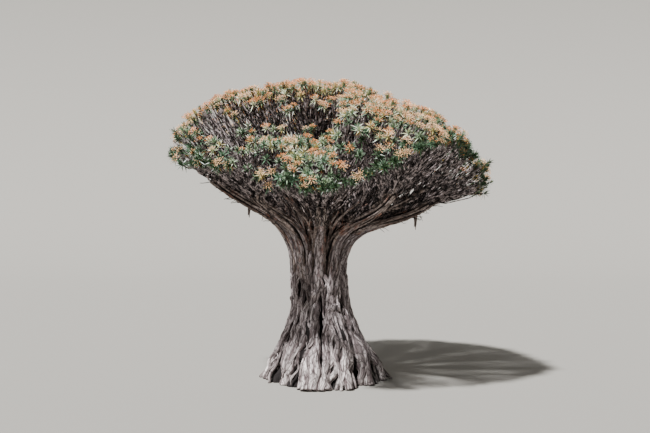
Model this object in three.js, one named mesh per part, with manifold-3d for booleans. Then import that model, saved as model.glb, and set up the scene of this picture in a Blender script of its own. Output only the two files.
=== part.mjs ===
// A dragon tree: an old, stout trunk of fused roots, a fork of long bare boughs, and a wide
// umbrella crown whose twigs all end in rosettes of sword-shaped leaves, many with a fruit panicle.
// Millimetres, +Z up. The origin is the middle of the flat cut under the trunk, at ground level.
// Azimuths are counted from +X towards +Y, and -Y is the side that the tree is usually seen from.

import * as THREE from "three";
import { mergeVertices } from "three/addons/utils/BufferGeometryUtils.js";
import Module from "manifold-3d";

const wasm = await Module();
wasm.setup();

// Driving sizes of the whole tree
const TREE_HEIGHT = 17000;
const FORK_HEIGHT = 7300;
const MEAN_REACH = 9150; // plan radius of the crown
const REACH_SKEW = 360; // the crown reaches this much further at +X, and less at -X
const REACH_WAVE = { size: 140, waves: 3, phase: 1 }; // three shallow lobes in its plan
const CLEARANCE = 0.3; // between two solids that meet
const TRUNK_CLEARANCE = 0.45; // the same where a bough leaves the slanting faces of the trunk's head
const DEGREE = Math.PI / 180;
const GOLDEN_SHARE = 0.618034;
const UP = new THREE.Vector3(0, 0, 1);

// Trunk
const WAIST_RADIUS = 1540;
const TRUNK_LEAN = -250; // shift of the trunk's middle at the fork, along X
const ROOT_SPREAD = 2050; // how far the root flare adds to the waist at the ground
const ROOT_HEIGHT = 4200;
const ROOT_CURVE = 1.25;
const HEAD_SPREAD = 170; // how far the trunk widens again under its fork
const HEAD_HEIGHT = 1500;
const TRUNK_CORDS = 11; // the fused roots that show as ridges
const POINTS_PER_CORD = 5;
const CORD_TWIST = 16 * DEGREE; // turn of the cords from ground to fork
const CORD_WIDTH = [0.84, 1.16]; // width of a cord against its spacing, at the ground and at the waist
const CORD_SPREAD = { place: 0.5, toe: 0.2, width: 0.3 }; // how far the cords differ from one another
const CLEFT_FLOOR = 0.76; // the clefts go no deeper than this share of the radius
// Long hollows down the trunk, and hips where the depth is negative: azimuth and lean in degrees, and
// half its width at its low and at its high end
const TRUNK_FORMS = [
  { azimuth: 268, low: 1200, high: 4900, widths: [420, 150], depth: 600, lean: -3 },
  { azimuth: 324, low: 3900, high: 6000, widths: [150, 190], depth: 450, lean: 6 },
  { azimuth: 237, low: 4300, high: 6000, widths: [170, 150], depth: 350, lean: -8 },
  { azimuth: 120, low: 900, high: 4700, widths: [400, 160], depth: 500, lean: 8 },
  { azimuth: 60, low: 3700, high: 6000, widths: [160, 200], depth: 420, lean: -6 },
  { azimuth: 170, low: 4000, high: 6000, widths: [170, 200], depth: 420, lean: 6 },
  { azimuth: 20, low: 900, high: 3900, widths: [340, 150], depth: 400, lean: -6 },
  { azimuth: 205, low: 300, high: 3400, widths: [340, 150], depth: 350, lean: 4 },
  { azimuth: 246, low: 2000, high: 4500, widths: [620, 420], depth: -200, lean: 0 },
  { azimuth: 300, low: 1500, high: 4500, widths: [620, 420], depth: -160, lean: 0 },
  { azimuth: 142, low: 1900, high: 3900, widths: [560, 420], depth: -180, lean: 0 },
];
const FORM_FADE = 0.3; // share of a form's height in which it starts and ends
const FORM_EDGE = 50; // how far it runs on past its stated ends
const FORM_FLATNESS = 0.7; // below 1 its floor is flatter and its sides steeper
const TRUNK_LEVELS = [0, 180, 480, 900, 1400, 1950, 2550, 3200, 3950, 4800, 5650, 6500, 7100];
const TRUNK_HEAD = [[7330, 0.88], [7480, 0.5]]; // height and share of the radius

// Boughs, ring by ring: each carries one mass. turn: azimuth of the first; plan: radius at which the
// middles of the masses stand; foot, start, lean: where a bough leaves the trunk's head and how far
// from upright; entry: how far it reaches into its mass's space; climb: where it ends between the
// crown's underside and its top; rise: its slope there, or null to follow the underside
const RINGS = [
  {
    name: "rim", count: 10, turn: 270, plan: 7100, foot: 1150, start: 6250, lean: 5,
    entry: 700, climb: 0.03, rise: null, radii: [345, 195],
  },
  {
    name: "mid", count: 7, turn: 252, plan: 4100, foot: 620, start: 6500, lean: 8,
    entry: 260, climb: 0.33, rise: 52, radii: [240, 165],
  },
  {
    name: "top", count: 3, turn: 225, plan: 1450, foot: 190, start: 6700, lean: 2,
    entry: 260, climb: 0.42, rise: 76, radii: [140, 140],
  },
];
const BOUGH_SIDES = 6;
const BOUGH_STEPS = 6;
const BOUGH_ROOT = 0.45; // share of its radius with which a bough starts inside the trunk
const BOUGH_RISE = 9; // degrees by which a bough of the rim climbs more steeply than the underside
const BOUGH_HANDLES = [0.49, 0.46]; // how far a bough keeps the headings of its two ends, of its length
const BOUGH_SAMPLES = 16; // points along a bough that leaves are kept clear of
const PLAN_STEP = 20; // in which a bough's end is moved back to its place
const SLOPE_SPAN = 400; // to each side of a place where the underside's slope is taken
const HANGING_POINT = 0.35; // share of its radius that a hanging root keeps at its point
const HANGING_ROOTS = [
  { bough: "rim_3", along: 0.9, length: 760, radius: 105 },
  { bough: "rim_9", along: 0.72, length: 620, radius: 80 },
];

// Crown outline
const BOWL_FOOT = { radius: 2000, height: 8800 }; // where the underside of the crown leaves the fork
const BOWL_CURVE = [1.1, 2.4]; // its curve at -X, where it climbs evenly, and at +X, where it lies low
const RIM_HEIGHTS = [
  { azimuth: -90, height: 10900 },
  { azimuth: -42, height: 13500 },
  { azimuth: 4, height: 10600 },
  { azimuth: 60, height: 12000 },
  { azimuth: 115, height: 11300 },
  { azimuth: 180, height: 12800 },
  { azimuth: 228, height: 11900 },
];
const TUCK_DEPTH = 2600; // how steeply the crown rounds in below its rim
const TUCK_LIMITS = [103, 114].map((d) => d * DEGREE); // climb where its leaves stop, at -X and at +X
const TERRACE = { // the lower front of the crown
  drop: 3000, near: 1700, full: 3100, middle: -2900, half: 3300, fade: 1100,
};

// Twigs, rosettes and fruit
const TIP_COUNT = 147;
const STEEP_WEIGHT = 3300; // share of the tips that the rim gets
const TWIG_RADIUS = 58;
const PIPE_POWER = 0.45; // how a limb's radius grows with the number of tips that it carries
const FORK_SHARES = [0.36, 0.29, 0.22, 0.15]; // a limb forks after one of these shares of the way to its tips
const FORK_LOSS = 0.12; // how much worse the next share is, when its faces look at their tips as well
const FORK_POINT = 0.7; // height of a fork's pyramid against the limb's radius
const FORK_TURNS = [-50, -25, 0, 25, 50]; // degrees by which a limb may turn on its way to its fork
const FORK_ORDERS = [[0, 1, 2], [0, 2, 1], [1, 0, 2], [1, 2, 0], [2, 0, 1], [2, 1, 0]]; // who gets which face
const SHORTEST_LIMB = 2; // of its radius, before it forks
const HEADING_SHARE = 0.45; // how much of its parent's heading a limb keeps
const TIP_HEADING = { outward: 0.5, upward: 0.35 }; // how a rosette turns from its twig to the light
const WALL_MARGIN = 300; // tips stay this far from the walls of their space
const SETTLING = { step: 25, steps: 40 }; // in which a tip moves in from a wall
const LIMB_MARGIN = 90; // leaves stay this far from every bough
const LEAF_MARGIN = 12; // leaves stay this far from the walls and from the leaves of the next tip
const LEAF_LENGTH = 900;
const SHORTEST_LEAF = 400; // a leaf with less room than this is skipped
const LEAF_SHORTENING = 30; // the step in which a leaf is fitted to its room
const LEAF_SPREAD = { length: 0.25, turn: 0.3, rise: 14 * DEGREE }; // how far the leaves differ
const LEAF_ROWS = [-4, 24, 58].map((d) => d * DEGREE); // how steeply the leaves of each row stand
const ROSETTE_CORE = 285;
const CORE_RINGS = [[0.9, -0.35], [0.9, 0.45]]; // how far out and up the core's rings stand, of its radius
const ROSETTE_SECTORS = 5;
const CANOPY_INSET = 570; // from the crown's outline in to the middle of a rosette
const FRUIT_SHARE = 0.32; // of the rosettes
const FRUIT_LENGTH = 700;
const FRUIT_SPIKES = [[0.43, 0.73], [0.29, 0.96]]; // how far out and up its clusters reach, of its length
const FRUIT_STALK = [50, 90]; // its radius at its foot and where the clusters begin
const FRUIT_SPAN = [0.4, 0.72]; // its foot, of the core, and where its clusters begin, of its length
const FRUIT_HEADROOM = 10; // under the tree's full height
const FRUIT_SECTORS = 4;

const COLOURS = { trunk: 0x7a6e70, bough: 0x6e5c56, mass: 0x7c8a6c };

const mix = (a, b, share) => a + (b - a) * share;
const clamp = (x, low, high) => Math.min(high, Math.max(low, x));

/** 0 below low, 1 above high, smooth between. */
function ramp(x, low, high) {
  const t = clamp((x - low) / (high - low), 0, 1);
  return t * t * (3 - 2 * t);
}

/** A number from -0.5 to 0.5 that differs from one index to the next and is the same on each run. */
const jitter = (index, stream = 0) => ((index + 1) * (GOLDEN_SHARE + 0.1307 * stream)) % 1 - 0.5;

const polar = (azimuth, radius, z) =>
  new THREE.Vector3(Math.cos(azimuth) * radius, Math.sin(azimuth) * radius, z);

/** The solid of a closed geometry, for joining and cutting. */
function solidOf(geometry) {
  const bare = geometry.clone();
  for (const name of ["normal", "uv"]) bare.deleteAttribute(name);
  const merged = mergeVertices(bare, 1e-3);
  return new wasm.Manifold(new wasm.Mesh({
    numProp: 3,
    vertProperties: new Float32Array(merged.attributes.position.array),
    triVerts: new Uint32Array(merged.index.array),
  }));
}

/** The mesh of a solid: its largest body, with any loose scrap dropped. */
function meshOf(solid, name, colour) {
  const bodies = solid.decompose().sort((a, b) => b.volume() - a.volume());
  const { vertProperties, triVerts } = bodies[0].getMesh();
  const geometry = new THREE.BufferGeometry();
  geometry.setAttribute("position", new THREE.BufferAttribute(vertProperties, 3));
  geometry.setIndex(new THREE.BufferAttribute(triVerts, 1));
  geometry.computeVertexNormals();
  const mesh = new THREE.Mesh(geometry, new THREE.MeshStandardMaterial({
    color: colour, roughness: 0.9, metalness: 0, flatShading: true,
  }));
  mesh.name = name;
  return mesh;
}

/** A closed skin over rings of equally many points, counted anticlockwise seen from the far end. */
function loft(rings) {
  const sides = rings[0].length;
  const points = rings.flat();
  const faces = [];
  for (let level = 0; level + 1 < rings.length; level++) {
    for (let k = 0; k < sides; k++) {
      const [a, b] = [level * sides + k, level * sides + (k + 1) % sides];
      faces.push(a, b, b + sides, a, b + sides, a + sides);
    }
  }
  for (const [ring, first, turn] of [[rings[0], 0, 1], [rings.at(-1), points.length - sides, 0]]) {
    const middle = points.length;
    points.push(ring.reduce((sum, p) => sum.add(p), new THREE.Vector3()).divideScalar(sides));
    for (let k = 0; k < sides; k++) {
      const [a, b] = [first + k, first + (k + 1) % sides];
      faces.push(middle, ...(turn ? [b, a] : [a, b]));
    }
  }
  const geometry = new THREE.BufferGeometry().setFromPoints(points);
  geometry.setIndex(faces);
  return geometry;
}

// Crown outline as functions of azimuth

const reachAt = (azimuth) => MEAN_REACH + REACH_SKEW * Math.cos(azimuth)
  + REACH_WAVE.size * Math.cos(REACH_WAVE.waves * azimuth + REACH_WAVE.phase);

/** Height of the crown's widest level, eased between the stated azimuths. */
function rimHeightAt(azimuth) {
  const degrees = ((azimuth / DEGREE + 90) % 360 + 360) % 360 - 90;
  const stations = [...RIM_HEIGHTS, { ...RIM_HEIGHTS[0], azimuth: RIM_HEIGHTS[0].azimuth + 360 }];
  const next = stations.findIndex((s) => s.azimuth > degrees);
  const [a, b] = [stations[next - 1], stations[next]];
  return mix(a.height, b.height, ramp(degrees, a.azimuth, b.azimuth));
}

/** Height of the dome's top over a point in plan: lower over the terrace at the front. */
function domeTopAt(x, y) {
  const depth = ramp(-y, TERRACE.near, TERRACE.full);
  const width = 1 - ramp(Math.abs(x - TERRACE.middle), TERRACE.half, TERRACE.half + TERRACE.fade);
  return TREE_HEIGHT - TERRACE.drop * depth * width;
}

/** The crown's outer surface: climb is 0 at the top, 90 degrees at the rim and more where it tucks in. */
function canopyPoint(azimuth, climb, inset) {
  const reach = reachAt(azimuth);
  const rim = rimHeightAt(azimuth);
  const radius = reach * Math.sin(climb);
  const foot = polar(azimuth, radius, 0);
  const dome = climb < 90 * DEGREE ? domeTopAt(foot.x, foot.y) - rim : TUCK_DEPTH;
  const normal = polar(azimuth, Math.sin(climb) / reach, Math.cos(climb) / dome).normalize();
  foot.z = rim + dome * Math.cos(climb);
  return { point: foot.addScaledVector(normal, -inset), normal };
}

/** Height of the crown's bare underside. */
function undersideAt(azimuth, radius) {
  const share = clamp((radius - BOWL_FOOT.radius) / (reachAt(azimuth) - BOWL_FOOT.radius), 0, 1);
  const curve = mix(...BOWL_CURVE, (1 + Math.cos(azimuth)) / 2);
  return mix(BOWL_FOOT.height, rimHeightAt(azimuth), share ** curve);
}

/** Tips spread over the canopy by the golden angle, a little closer on top than at its steep rim. */
function canopyTips(count, inset) {
  const steps = 90;
  const area = [0];
  for (let k = 1; k <= steps; k++) {
    const climb = (k - 0.5) / steps * TUCK_LIMITS[1];
    const slope = Math.hypot(MEAN_REACH * Math.cos(climb), STEEP_WEIGHT * Math.sin(climb));
    area.push(area[k - 1] + Math.sin(climb) * slope);
  }
  return Array.from({ length: count }, (_, i) => {
    const wanted = (i + 0.5) / count * area[steps];
    const k = area.findIndex((a) => a >= wanted);
    const azimuth = i * 360 * (1 - GOLDEN_SHARE) * DEGREE;
    const limit = mix(...TUCK_LIMITS, (1 + Math.cos(azimuth)) / 2);
    const climb = (k - (area[k] - wanted) / (area[k] - area[k - 1])) / steps * limit;
    return { index: i, ...canopyPoint(azimuth, climb, inset) };
  });
}

// Trunk

/** Mean radius of the trunk. */
function trunkRadius(z) {
  const flare = ROOT_SPREAD * Math.max(0, 1 - z / ROOT_HEIGHT) ** ROOT_CURVE;
  return WAIST_RADIUS + flare + HEAD_SPREAD * ramp(z, FORK_HEIGHT - HEAD_HEIGHT, FORK_HEIGHT);
}

const trunkMiddle = (z) => TRUNK_LEAN * (z / FORK_HEIGHT) ** 2;

/** Azimuth of one of the trunk's cords. */
const cordAzimuth = (cord, z) =>
  (cord + CORD_SPREAD.place * jitter(cord)) * 360 / TRUNK_CORDS * DEGREE + CORD_TWIST * z / FORK_HEIGHT;

/** How far one of the trunk's long forms sets its surface back, in one direction at one height. */
function formDepth({ azimuth, low, high, widths, depth, lean }, direction, z) {
  const share = clamp((z - low) / (high - low), 0, 1);
  const turn = direction - (azimuth + lean * (share - 0.5)) * DEGREE;
  const aside = Math.atan2(Math.sin(turn), Math.cos(turn)) * trunkRadius(z);
  const across = Math.max(0, 1 - (aside / mix(...widths, share)) ** 2);
  const fade = FORM_FADE * (high - low);
  const ends = ramp(z, low - FORM_EDGE, low + fade) * (1 - ramp(z, high - fade, high + FORM_EDGE));
  return depth * across ** FORM_FLATNESS * ends;
}

/** The trunk's outline in one direction: the cords' round backs, clefts between, hollows and hips. */
function trunkOutline(azimuth, z) {
  const mean = trunkRadius(z);
  const width = mix(...CORD_WIDTH, ramp(z, 0, ROOT_HEIGHT)) * Math.PI / TRUNK_CORDS;
  let radius = mean * CLEFT_FLOOR;
  for (let cord = 0; cord < TRUNK_CORDS; cord++) {
    const toe = 1 + CORD_SPREAD.toe * jitter(cord, 2) * (1 - ramp(z, 0, ROOT_HEIGHT));
    const thickness = mean * width * (1 + CORD_SPREAD.width * jitter(cord, 1));
    const distance = mean * toe - thickness;
    const turn = azimuth - cordAzimuth(cord, z);
    const aside = distance * Math.sin(turn);
    if (Math.cos(turn) > 0 && Math.abs(aside) < thickness)
      radius = Math.max(radius, distance * Math.cos(turn) + Math.sqrt(thickness ** 2 - aside ** 2));
  }
  return TRUNK_FORMS.reduce((rest, form) => rest - formDepth(form, azimuth, z), radius);
}

/** One level of the trunk, with points along each cord from cleft to cleft. */
function trunkRing(z, share = 1, grown = 0) {
  const points = [];
  for (let cord = 0; cord < TRUNK_CORDS; cord++) {
    const here = cordAzimuth(cord, z);
    const next = cordAzimuth((cord + 1) % TRUNK_CORDS, z) + (cord + 1 === TRUNK_CORDS ? 2 * Math.PI : 0);
    for (let k = 0; k < POINTS_PER_CORD; k++) {
      const azimuth = mix(here, next, k / POINTS_PER_CORD);
      const point = polar(azimuth, trunkOutline(azimuth, z) * share + grown, z + (share < 1 ? grown : 0));
      point.x += trunkMiddle(z);
      points.push(point);
    }
  }
  return points;
}

/** The trunk from its flat cut to the low dome of its head, grown outwards where a clearance is cut. */
const trunkSkin = (grown = 0) => loft([
  ...TRUNK_LEVELS.map((z) => trunkRing(z, 1, grown)),
  ...TRUNK_HEAD.map(([z, share]) => trunkRing(z, share, grown)),
]);

// Masses: who owns which space

/** The crown's masses, ring by ring, each with the middle of its space in plan. */
const masses = RINGS.flatMap((ring) => Array.from({ length: ring.count }, (_, k) => {
  const azimuth = (ring.turn + k * 360 / ring.count) * DEGREE;
  return { ring, name: `${ring.name}_${k + 1}`, azimuth, middle: polar(azimuth, ring.plan, 0) };
}));

/** How far a point lies inside a mass's space, walled halfway between the middles. Negative outside. */
function depthInside(mass, point) {
  let depth = Infinity;
  for (const other of masses) {
    if (other === mass) continue;
    const across = new THREE.Vector3().subVectors(other.middle, mass.middle).setZ(0);
    const halfway = new THREE.Vector3().addVectors(other.middle, mass.middle).multiplyScalar(0.5);
    depth = Math.min(depth, -new THREE.Vector3().subVectors(point, halfway).setZ(0).dot(across.normalize()));
  }
  return depth;
}

// Boughs

/** The middle line of a mass's bough, from inside the trunk's head to just inside the mass's space. */
function boughLine(mass) {
  const { ring, azimuth } = mass;
  let end = ring.plan;
  while (end > PLAN_STEP && depthInside(mass, polar(azimuth, end, 0)) > ring.entry) end -= PLAN_STEP;
  const under = undersideAt(azimuth, end);
  const over = canopyPoint(azimuth, Math.asin(end / reachAt(azimuth)), CANOPY_INSET).point.z;
  const tip = polar(azimuth, end, mix(under, over, ring.climb) + ring.radii[1]);
  const foot = polar(azimuth, ring.foot, ring.start);
  foot.x += trunkMiddle(ring.start);
  const climbed = undersideAt(azimuth, end + SLOPE_SPAN) - undersideAt(azimuth, end - SLOPE_SPAN);
  const bowl = Math.atan2(climbed, 2 * SLOPE_SPAN);
  const rise = ring.rise === null ? bowl + BOUGH_RISE * DEGREE : ring.rise * DEGREE;
  const slope = (angle) => polar(azimuth, Math.cos(angle), Math.sin(angle));
  const length = foot.distanceTo(tip);
  return new THREE.CubicBezierCurve3(
    foot,
    foot.clone().addScaledVector(slope((90 - ring.lean) * DEGREE), length * BOUGH_HANDLES[0]),
    tip.clone().addScaledVector(slope(rise), -length * BOUGH_HANDLES[1]),
    tip,
  );
}

/** A ring of points square to a curve, shifted along it; anticlockwise seen from the curve's far end. */
function ringRound(curve, t, radius, sides, shift = 0) {
  const along = curve.getTangent(t);
  const across = new THREE.Vector3().subVectors(curve.getPoint(1), curve.getPoint(0)).cross(UP);
  if (across.length() < 1) across.set(0, 1, 0);
  across.addScaledVector(along, -across.dot(along)).normalize();
  const over = new THREE.Vector3().crossVectors(along, across);
  const middle = curve.getPoint(t).addScaledVector(along, shift);
  return Array.from({ length: sides }, (_, k) => middle.clone()
    .addScaledVector(across, radius * Math.cos(k / sides * 2 * Math.PI))
    .addScaledVector(over, radius * Math.sin(k / sides * 2 * Math.PI)));
}

/** A tapering limb along a curve, its ends square to it. */
function limb(curve, [thick, thin], sides, steps, root = 1, grown = 0) {
  return loft(Array.from({ length: steps + 1 }, (_, step) => {
    const radius = mix(thick, thin, step / steps) * (step === 0 ? root : 1) + grown;
    return ringRound(curve, step / steps, radius, sides, step === 0 ? -grown : step === steps ? grown : 0);
  }));
}

const boughSkin = ({ line, ring }, grown = 0) =>
  limb(line, ring.radii, BOUGH_SIDES, BOUGH_STEPS, BOUGH_ROOT, grown);

/** A root that hangs from a bough into the air: a cone, point down, its head sunk in the bough. */
function hangingRoot({ along, length, radius }, curve) {
  const from = curve.getPoint(along);
  const line = new THREE.LineCurve3(from, from.clone().addScaledVector(UP, -length));
  return limb(line, [radius, radius * HANGING_POINT], BOUGH_SIDES, 2);
}

// Twigs, rosettes and fruit

/** A small core of two rings and a pole, its triangles drawn out to points where pointOf gives one. */
function burst(rings, pole, pointOf) {
  const sectors = rings[0].length;
  const points = [...rings[0], ...rings[1], pole];
  const cells = [];
  for (let k = 0; k < sectors; k++) {
    const next = (k + 1) % sectors;
    const [low, lowNext, high, highNext] = [k, next, sectors + k, sectors + next];
    if (k > 1) cells.push({ row: -1, k, corners: [0, k, k - 1] });
    cells.push(
      { row: 0, k, corners: [low, lowNext, high] },
      { row: 1, k, corners: [lowNext, highNext, high] },
      { row: 2, k, corners: [high, highNext, 2 * sectors] },
    );
  }
  const faces = [];
  for (const { row, k, corners } of cells) {
    const tip = row < 0 ? null : pointOf(row, k);
    if (tip) {
      points.push(tip);
      corners.forEach((corner, n) => faces.push(corner, corners[(n + 1) % 3], points.length - 1));
    } else {
      faces.push(...corners);
    }
  }
  const geometry = new THREE.BufferGeometry().setFromPoints(points);
  geometry.setIndex(faces);
  return geometry;
}

/** A frame at a tip: places a point by azimuth round the tip's axis, distance from it and height along it. */
function placer({ point, axis, index }) {
  const turned = new THREE.Quaternion().setFromUnitVectors(UP, axis);
  const spin = 2 * Math.PI * jitter(index, 7);
  return (azimuth, out, along) => polar(azimuth + spin, out, along).applyQuaternion(turned).add(point);
}

/** A level ring of points, turned by a share of a sector. */
const ringOf = (place, sectors, share, out, along) =>
  Array.from({ length: sectors }, (_, k) => place((k + share) / sectors * 2 * Math.PI, out, along));

/** Whether a leaf may end at a point: in its mass's space, by its own tip and clear of the boughs. */
function staysBy(tip, mass, point) {
  const own = point.distanceTo(tip.point) + LEAF_MARGIN;
  const halfway = point.clone().add(tip.point).multiplyScalar(0.5);
  return point.z < TREE_HEIGHT && depthInside(mass, point) > LEAF_MARGIN
    && mass.tips.every((other) => other === tip || point.distanceTo(other.point) > own)
    && masses.every(({ line, ring }) => line.getPoints(BOUGH_SAMPLES).every((middle, k) => {
      const clear = mix(...ring.radii, k / BOUGH_SAMPLES) + LIMB_MARGIN;
      return point.distanceTo(middle) > clear && halfway.distanceTo(middle) > clear;
    }));
}

/** A rosette of sword leaves in three rows, less the leaves that would leave the mass's space. */
function rosette(tip, mass) {
  const place = placer(tip);
  const rings = CORE_RINGS.map(([out, up], level) =>
    ringOf(place, ROSETTE_SECTORS, level / 2, out * ROSETTE_CORE, up * ROSETTE_CORE));
  const pointOf = (row, k) => {
    const seed = (tip.index * LEAF_ROWS.length + row) * ROSETTE_SECTORS + k;
    const share = k + (row === 0 ? 0.5 : 1) + LEAF_SPREAD.turn * jitter(seed, 4);
    const azimuth = share * 2 * Math.PI / ROSETTE_SECTORS;
    const rise = LEAF_ROWS[row] + LEAF_SPREAD.rise * jitter(seed, 5);
    const longest = LEAF_LENGTH * (1 + LEAF_SPREAD.length * jitter(seed, 3));
    for (let length = longest; length > SHORTEST_LEAF; length -= LEAF_SHORTENING) {
      const point = place(azimuth, Math.cos(rise) * length, Math.sin(rise) * length);
      if (staysBy(tip, mass, point)) return point;
    }
    return null;
  };
  return burst(rings, place(0, 0, ROSETTE_CORE), pointOf);
}

/** A panicle of fruit over its rosette, its foot sunk in the rosette's heart. */
function panicle(tip, mass) {
  const place = placer(tip);
  const length = Math.min(FRUIT_LENGTH, TREE_HEIGHT - FRUIT_HEADROOM - tip.point.z);
  const rings = [
    ringOf(place, FRUIT_SECTORS, 0, FRUIT_STALK[0], FRUIT_SPAN[0] * ROSETTE_CORE),
    ringOf(place, FRUIT_SECTORS, 0.5, FRUIT_STALK[1], FRUIT_SPAN[1] * length),
  ];
  const pointOf = (row, k) => {
    if (row === 0) return null;
    const [out, along] = FRUIT_SPIKES[row - 1];
    const point = place((k + 1) * 2 * Math.PI / FRUIT_SECTORS, out * length, along * length);
    return staysBy(tip, mass, point) ? point : null;
  };
  return burst(rings, place(0, 0, length), pointOf);
}

/** Shares tips out among the two or three of them that lie furthest apart. */
function divide(tips) {
  const apart = (p, q) => p.point.distanceTo(q.point);
  const furthest = (score) => tips.reduce((a, b) => (score(b) > score(a) ? b : a));
  const heads = [furthest((p) => Math.max(...tips.map((q) => apart(p, q))))];
  while (heads.length < (tips.length > 2 ? 3 : 2))
    heads.push(furthest((p) => Math.min(...heads.map((head) => apart(p, head)))));
  const groups = heads.map(() => []);
  for (const tip of tips) {
    const distances = heads.map((head) => apart(tip, head));
    groups[distances.indexOf(Math.min(...distances))].push(tip);
  }
  return groups;
}

/** The middle of a group of tips. */
const middleOfTips = (tips) =>
  tips.reduce((sum, tip) => sum.add(tip.point), new THREE.Vector3()).divideScalar(tips.length);

/** Three points round a line, anticlockwise seen from its far end, the first turned from a given side. */
function triangle(middle, along, side, radius, turn = 0) {
  const across = side.clone().addScaledVector(along, -side.dot(along)).normalize();
  const over = new THREE.Vector3().crossVectors(along, across);
  return [0, 120, 240].map((corner) => middle.clone()
    .addScaledVector(across, radius * Math.cos((corner + turn) * DEGREE))
    .addScaledVector(over, radius * Math.sin((corner + turn) * DEGREE)));
}

const normalOf = ([p, q, r]) =>
  new THREE.Vector3().subVectors(q, p).cross(new THREE.Vector3().subVectors(r, p)).normalize();

/** The twigs of one mass as a closed skin. A fork is a low pyramid, and a twig grows on from each face. */
class TwigSkin {
  points = [];
  faces = [];

  add(points) {
    return points.map((point) => this.points.push(point) - 1);
  }

  /** Joins a ring to three points further along the same limb and returns them. */
  bridge(ring, points) {
    const next = this.add(points);
    const step = ring.length / 3;
    next.forEach((far, k) => {
      const farNext = next[(k + 1) % 3];
      const near = Array.from({ length: step + 1 }, (_, n) => ring[(k * step + n) % ring.length]);
      if (step === 2) this.faces.push(near[0], near[1], far);
      this.faces.push(near[step - 1], near[step], farNext, near[step - 1], farNext, far);
    });
    return next;
  }

  /** Grows limbs from a ring to its tips: a limb runs part of the way, forks, and each fork does the same. */
  grow(ring, from, heading, tips, parentRadius) {
    const radius = Math.min(parentRadius, TWIG_RADIUS * tips.length ** PIPE_POWER);
    const side = new THREE.Vector3().subVectors(this.points[ring[0]], from);
    const towards = middleOfTips(tips).sub(from);
    if (tips.length === 1) {
      const [tip] = tips;
      towards.normalize();
      tip.axis = towards.clone().addScaledVector(tip.normal, TIP_HEADING.outward)
        .addScaledVector(UP, TIP_HEADING.upward).normalize();
      this.faces.push(...this.bridge(ring, triangle(tip.point, towards, side, radius)));
      return;
    }
    const along = towards.clone().normalize().lerp(heading, HEADING_SHARE).normalize();
    const fits = FORK_SHARES.flatMap((share, late) => {
      const run = Math.max(towards.length() * share, radius * SHORTEST_LIMB);
      const fork = from.clone().addScaledVector(along, run);
      const apex = fork.clone().addScaledVector(along, radius * FORK_POINT);
      const groups = divide(tips).map((group) => ({ group, way: middleOfTips(group).sub(fork).normalize() }));
      return FORK_TURNS.flatMap((turn) => {
        const corners = triangle(fork, along, side, radius, turn);
        const normals = corners.map((corner, k) => normalOf([corner, corners[(k + 1) % 3], apex]));
        return FORK_ORDERS.map((order) => {
          const fit = Math.min(...groups.map(({ way }, n) => normals[order[n]].dot(way))) - late * FORK_LOSS;
          return { corners, apex, groups, order, fit };
        });
      });
    });
    const { corners, apex, groups, order } = fits.reduce((a, b) => (b.fit > a.fit ? b : a));
    const end = this.bridge(ring, corners);
    const [top] = this.add([apex]);
    order.forEach((k, n) => {
      const face = [end[k], end[(k + 1) % 3], top];
      if (n >= groups.length) this.faces.push(...face);
      else this.grow(face, this.middleOf(face), along, groups[n].group, radius);
    });
  }

  middleOf(face) {
    return face.reduce((sum, index) => sum.add(this.points[index]), new THREE.Vector3()).divideScalar(3);
  }

  geometry() {
    const geometry = new THREE.BufferGeometry().setFromPoints(this.points);
    geometry.setIndex(this.faces);
    return geometry;
  }
}

/** Moves a tip inwards until it is clear of the walls of its mass's space. */
function settle(tip, mass) {
  const inwards = new THREE.Vector3().subVectors(mass.middle, tip.point).setZ(0).normalize();
  for (let k = 0; k < SETTLING.steps && depthInside(mass, tip.point) < WALL_MARGIN; k++)
    tip.point.addScaledVector(inwards, SETTLING.step);
}

// The tree

for (const tip of canopyTips(TIP_COUNT, CANOPY_INSET)) {
  const owner = masses.reduce((a, b) => (depthInside(a, tip.point) > depthInside(b, tip.point) ? a : b));
  settle(tip, owner);
  (owner.tips ??= []).push(tip);
}
for (const mass of masses) mass.line = boughLine(mass);

/** A mass's bough with its hanging roots, cut clear of the trunk and of the boughs before it. */
function boughSolid(mass, cutters) {
  const roots = HANGING_ROOTS.filter((root) => root.bough === mass.name);
  let bough = solidOf(boughSkin(mass));
  for (const root of roots) bough = bough.add(solidOf(hangingRoot(root, mass.line)));
  return cutters.reduce((rest, cutter) => rest.subtract(cutter), bough);
}

/** A mass: its twigs from the stem that stands on the bough's end, with rosettes and panicles fused on. */
function massSolid(mass) {
  const heading = mass.line.getTangent(1);
  const seat = mass.line.getPoint(1).addScaledVector(heading, CLEARANCE);
  const radius = mass.ring.radii[1];
  const skin = new TwigSkin();
  const base = skin.add(ringRound(mass.line, 1, radius, BOUGH_SIDES, CLEARANCE));
  for (let k = 1; k + 1 < base.length; k++) skin.faces.push(base[0], base[k + 1], base[k]);
  skin.grow(base, seat, heading, mass.tips, radius);
  const sprays = mass.tips.flatMap((tip) => [
    rosette(tip, mass),
    ...(jitter(tip.index, 6) + 0.5 < FRUIT_SHARE ? [panicle(tip, mass)] : []),
  ]);
  return sprays.reduce((sum, spray) => sum.add(solidOf(spray)), solidOf(skin.geometry()));
}

const tree = new THREE.Group();
tree.add(meshOf(solidOf(trunkSkin()), "trunk", COLOURS.trunk));
const cutters = [solidOf(trunkSkin(TRUNK_CLEARANCE))];
for (const mass of masses) {
  tree.add(meshOf(boughSolid(mass, cutters), `bough_${mass.name}`, COLOURS.bough));
  cutters.push(solidOf(boughSkin(mass, CLEARANCE)));
}
for (const mass of masses) tree.add(meshOf(massSolid(mass), `mass_${mass.name}`, COLOURS.mass));

export default tree;
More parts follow.
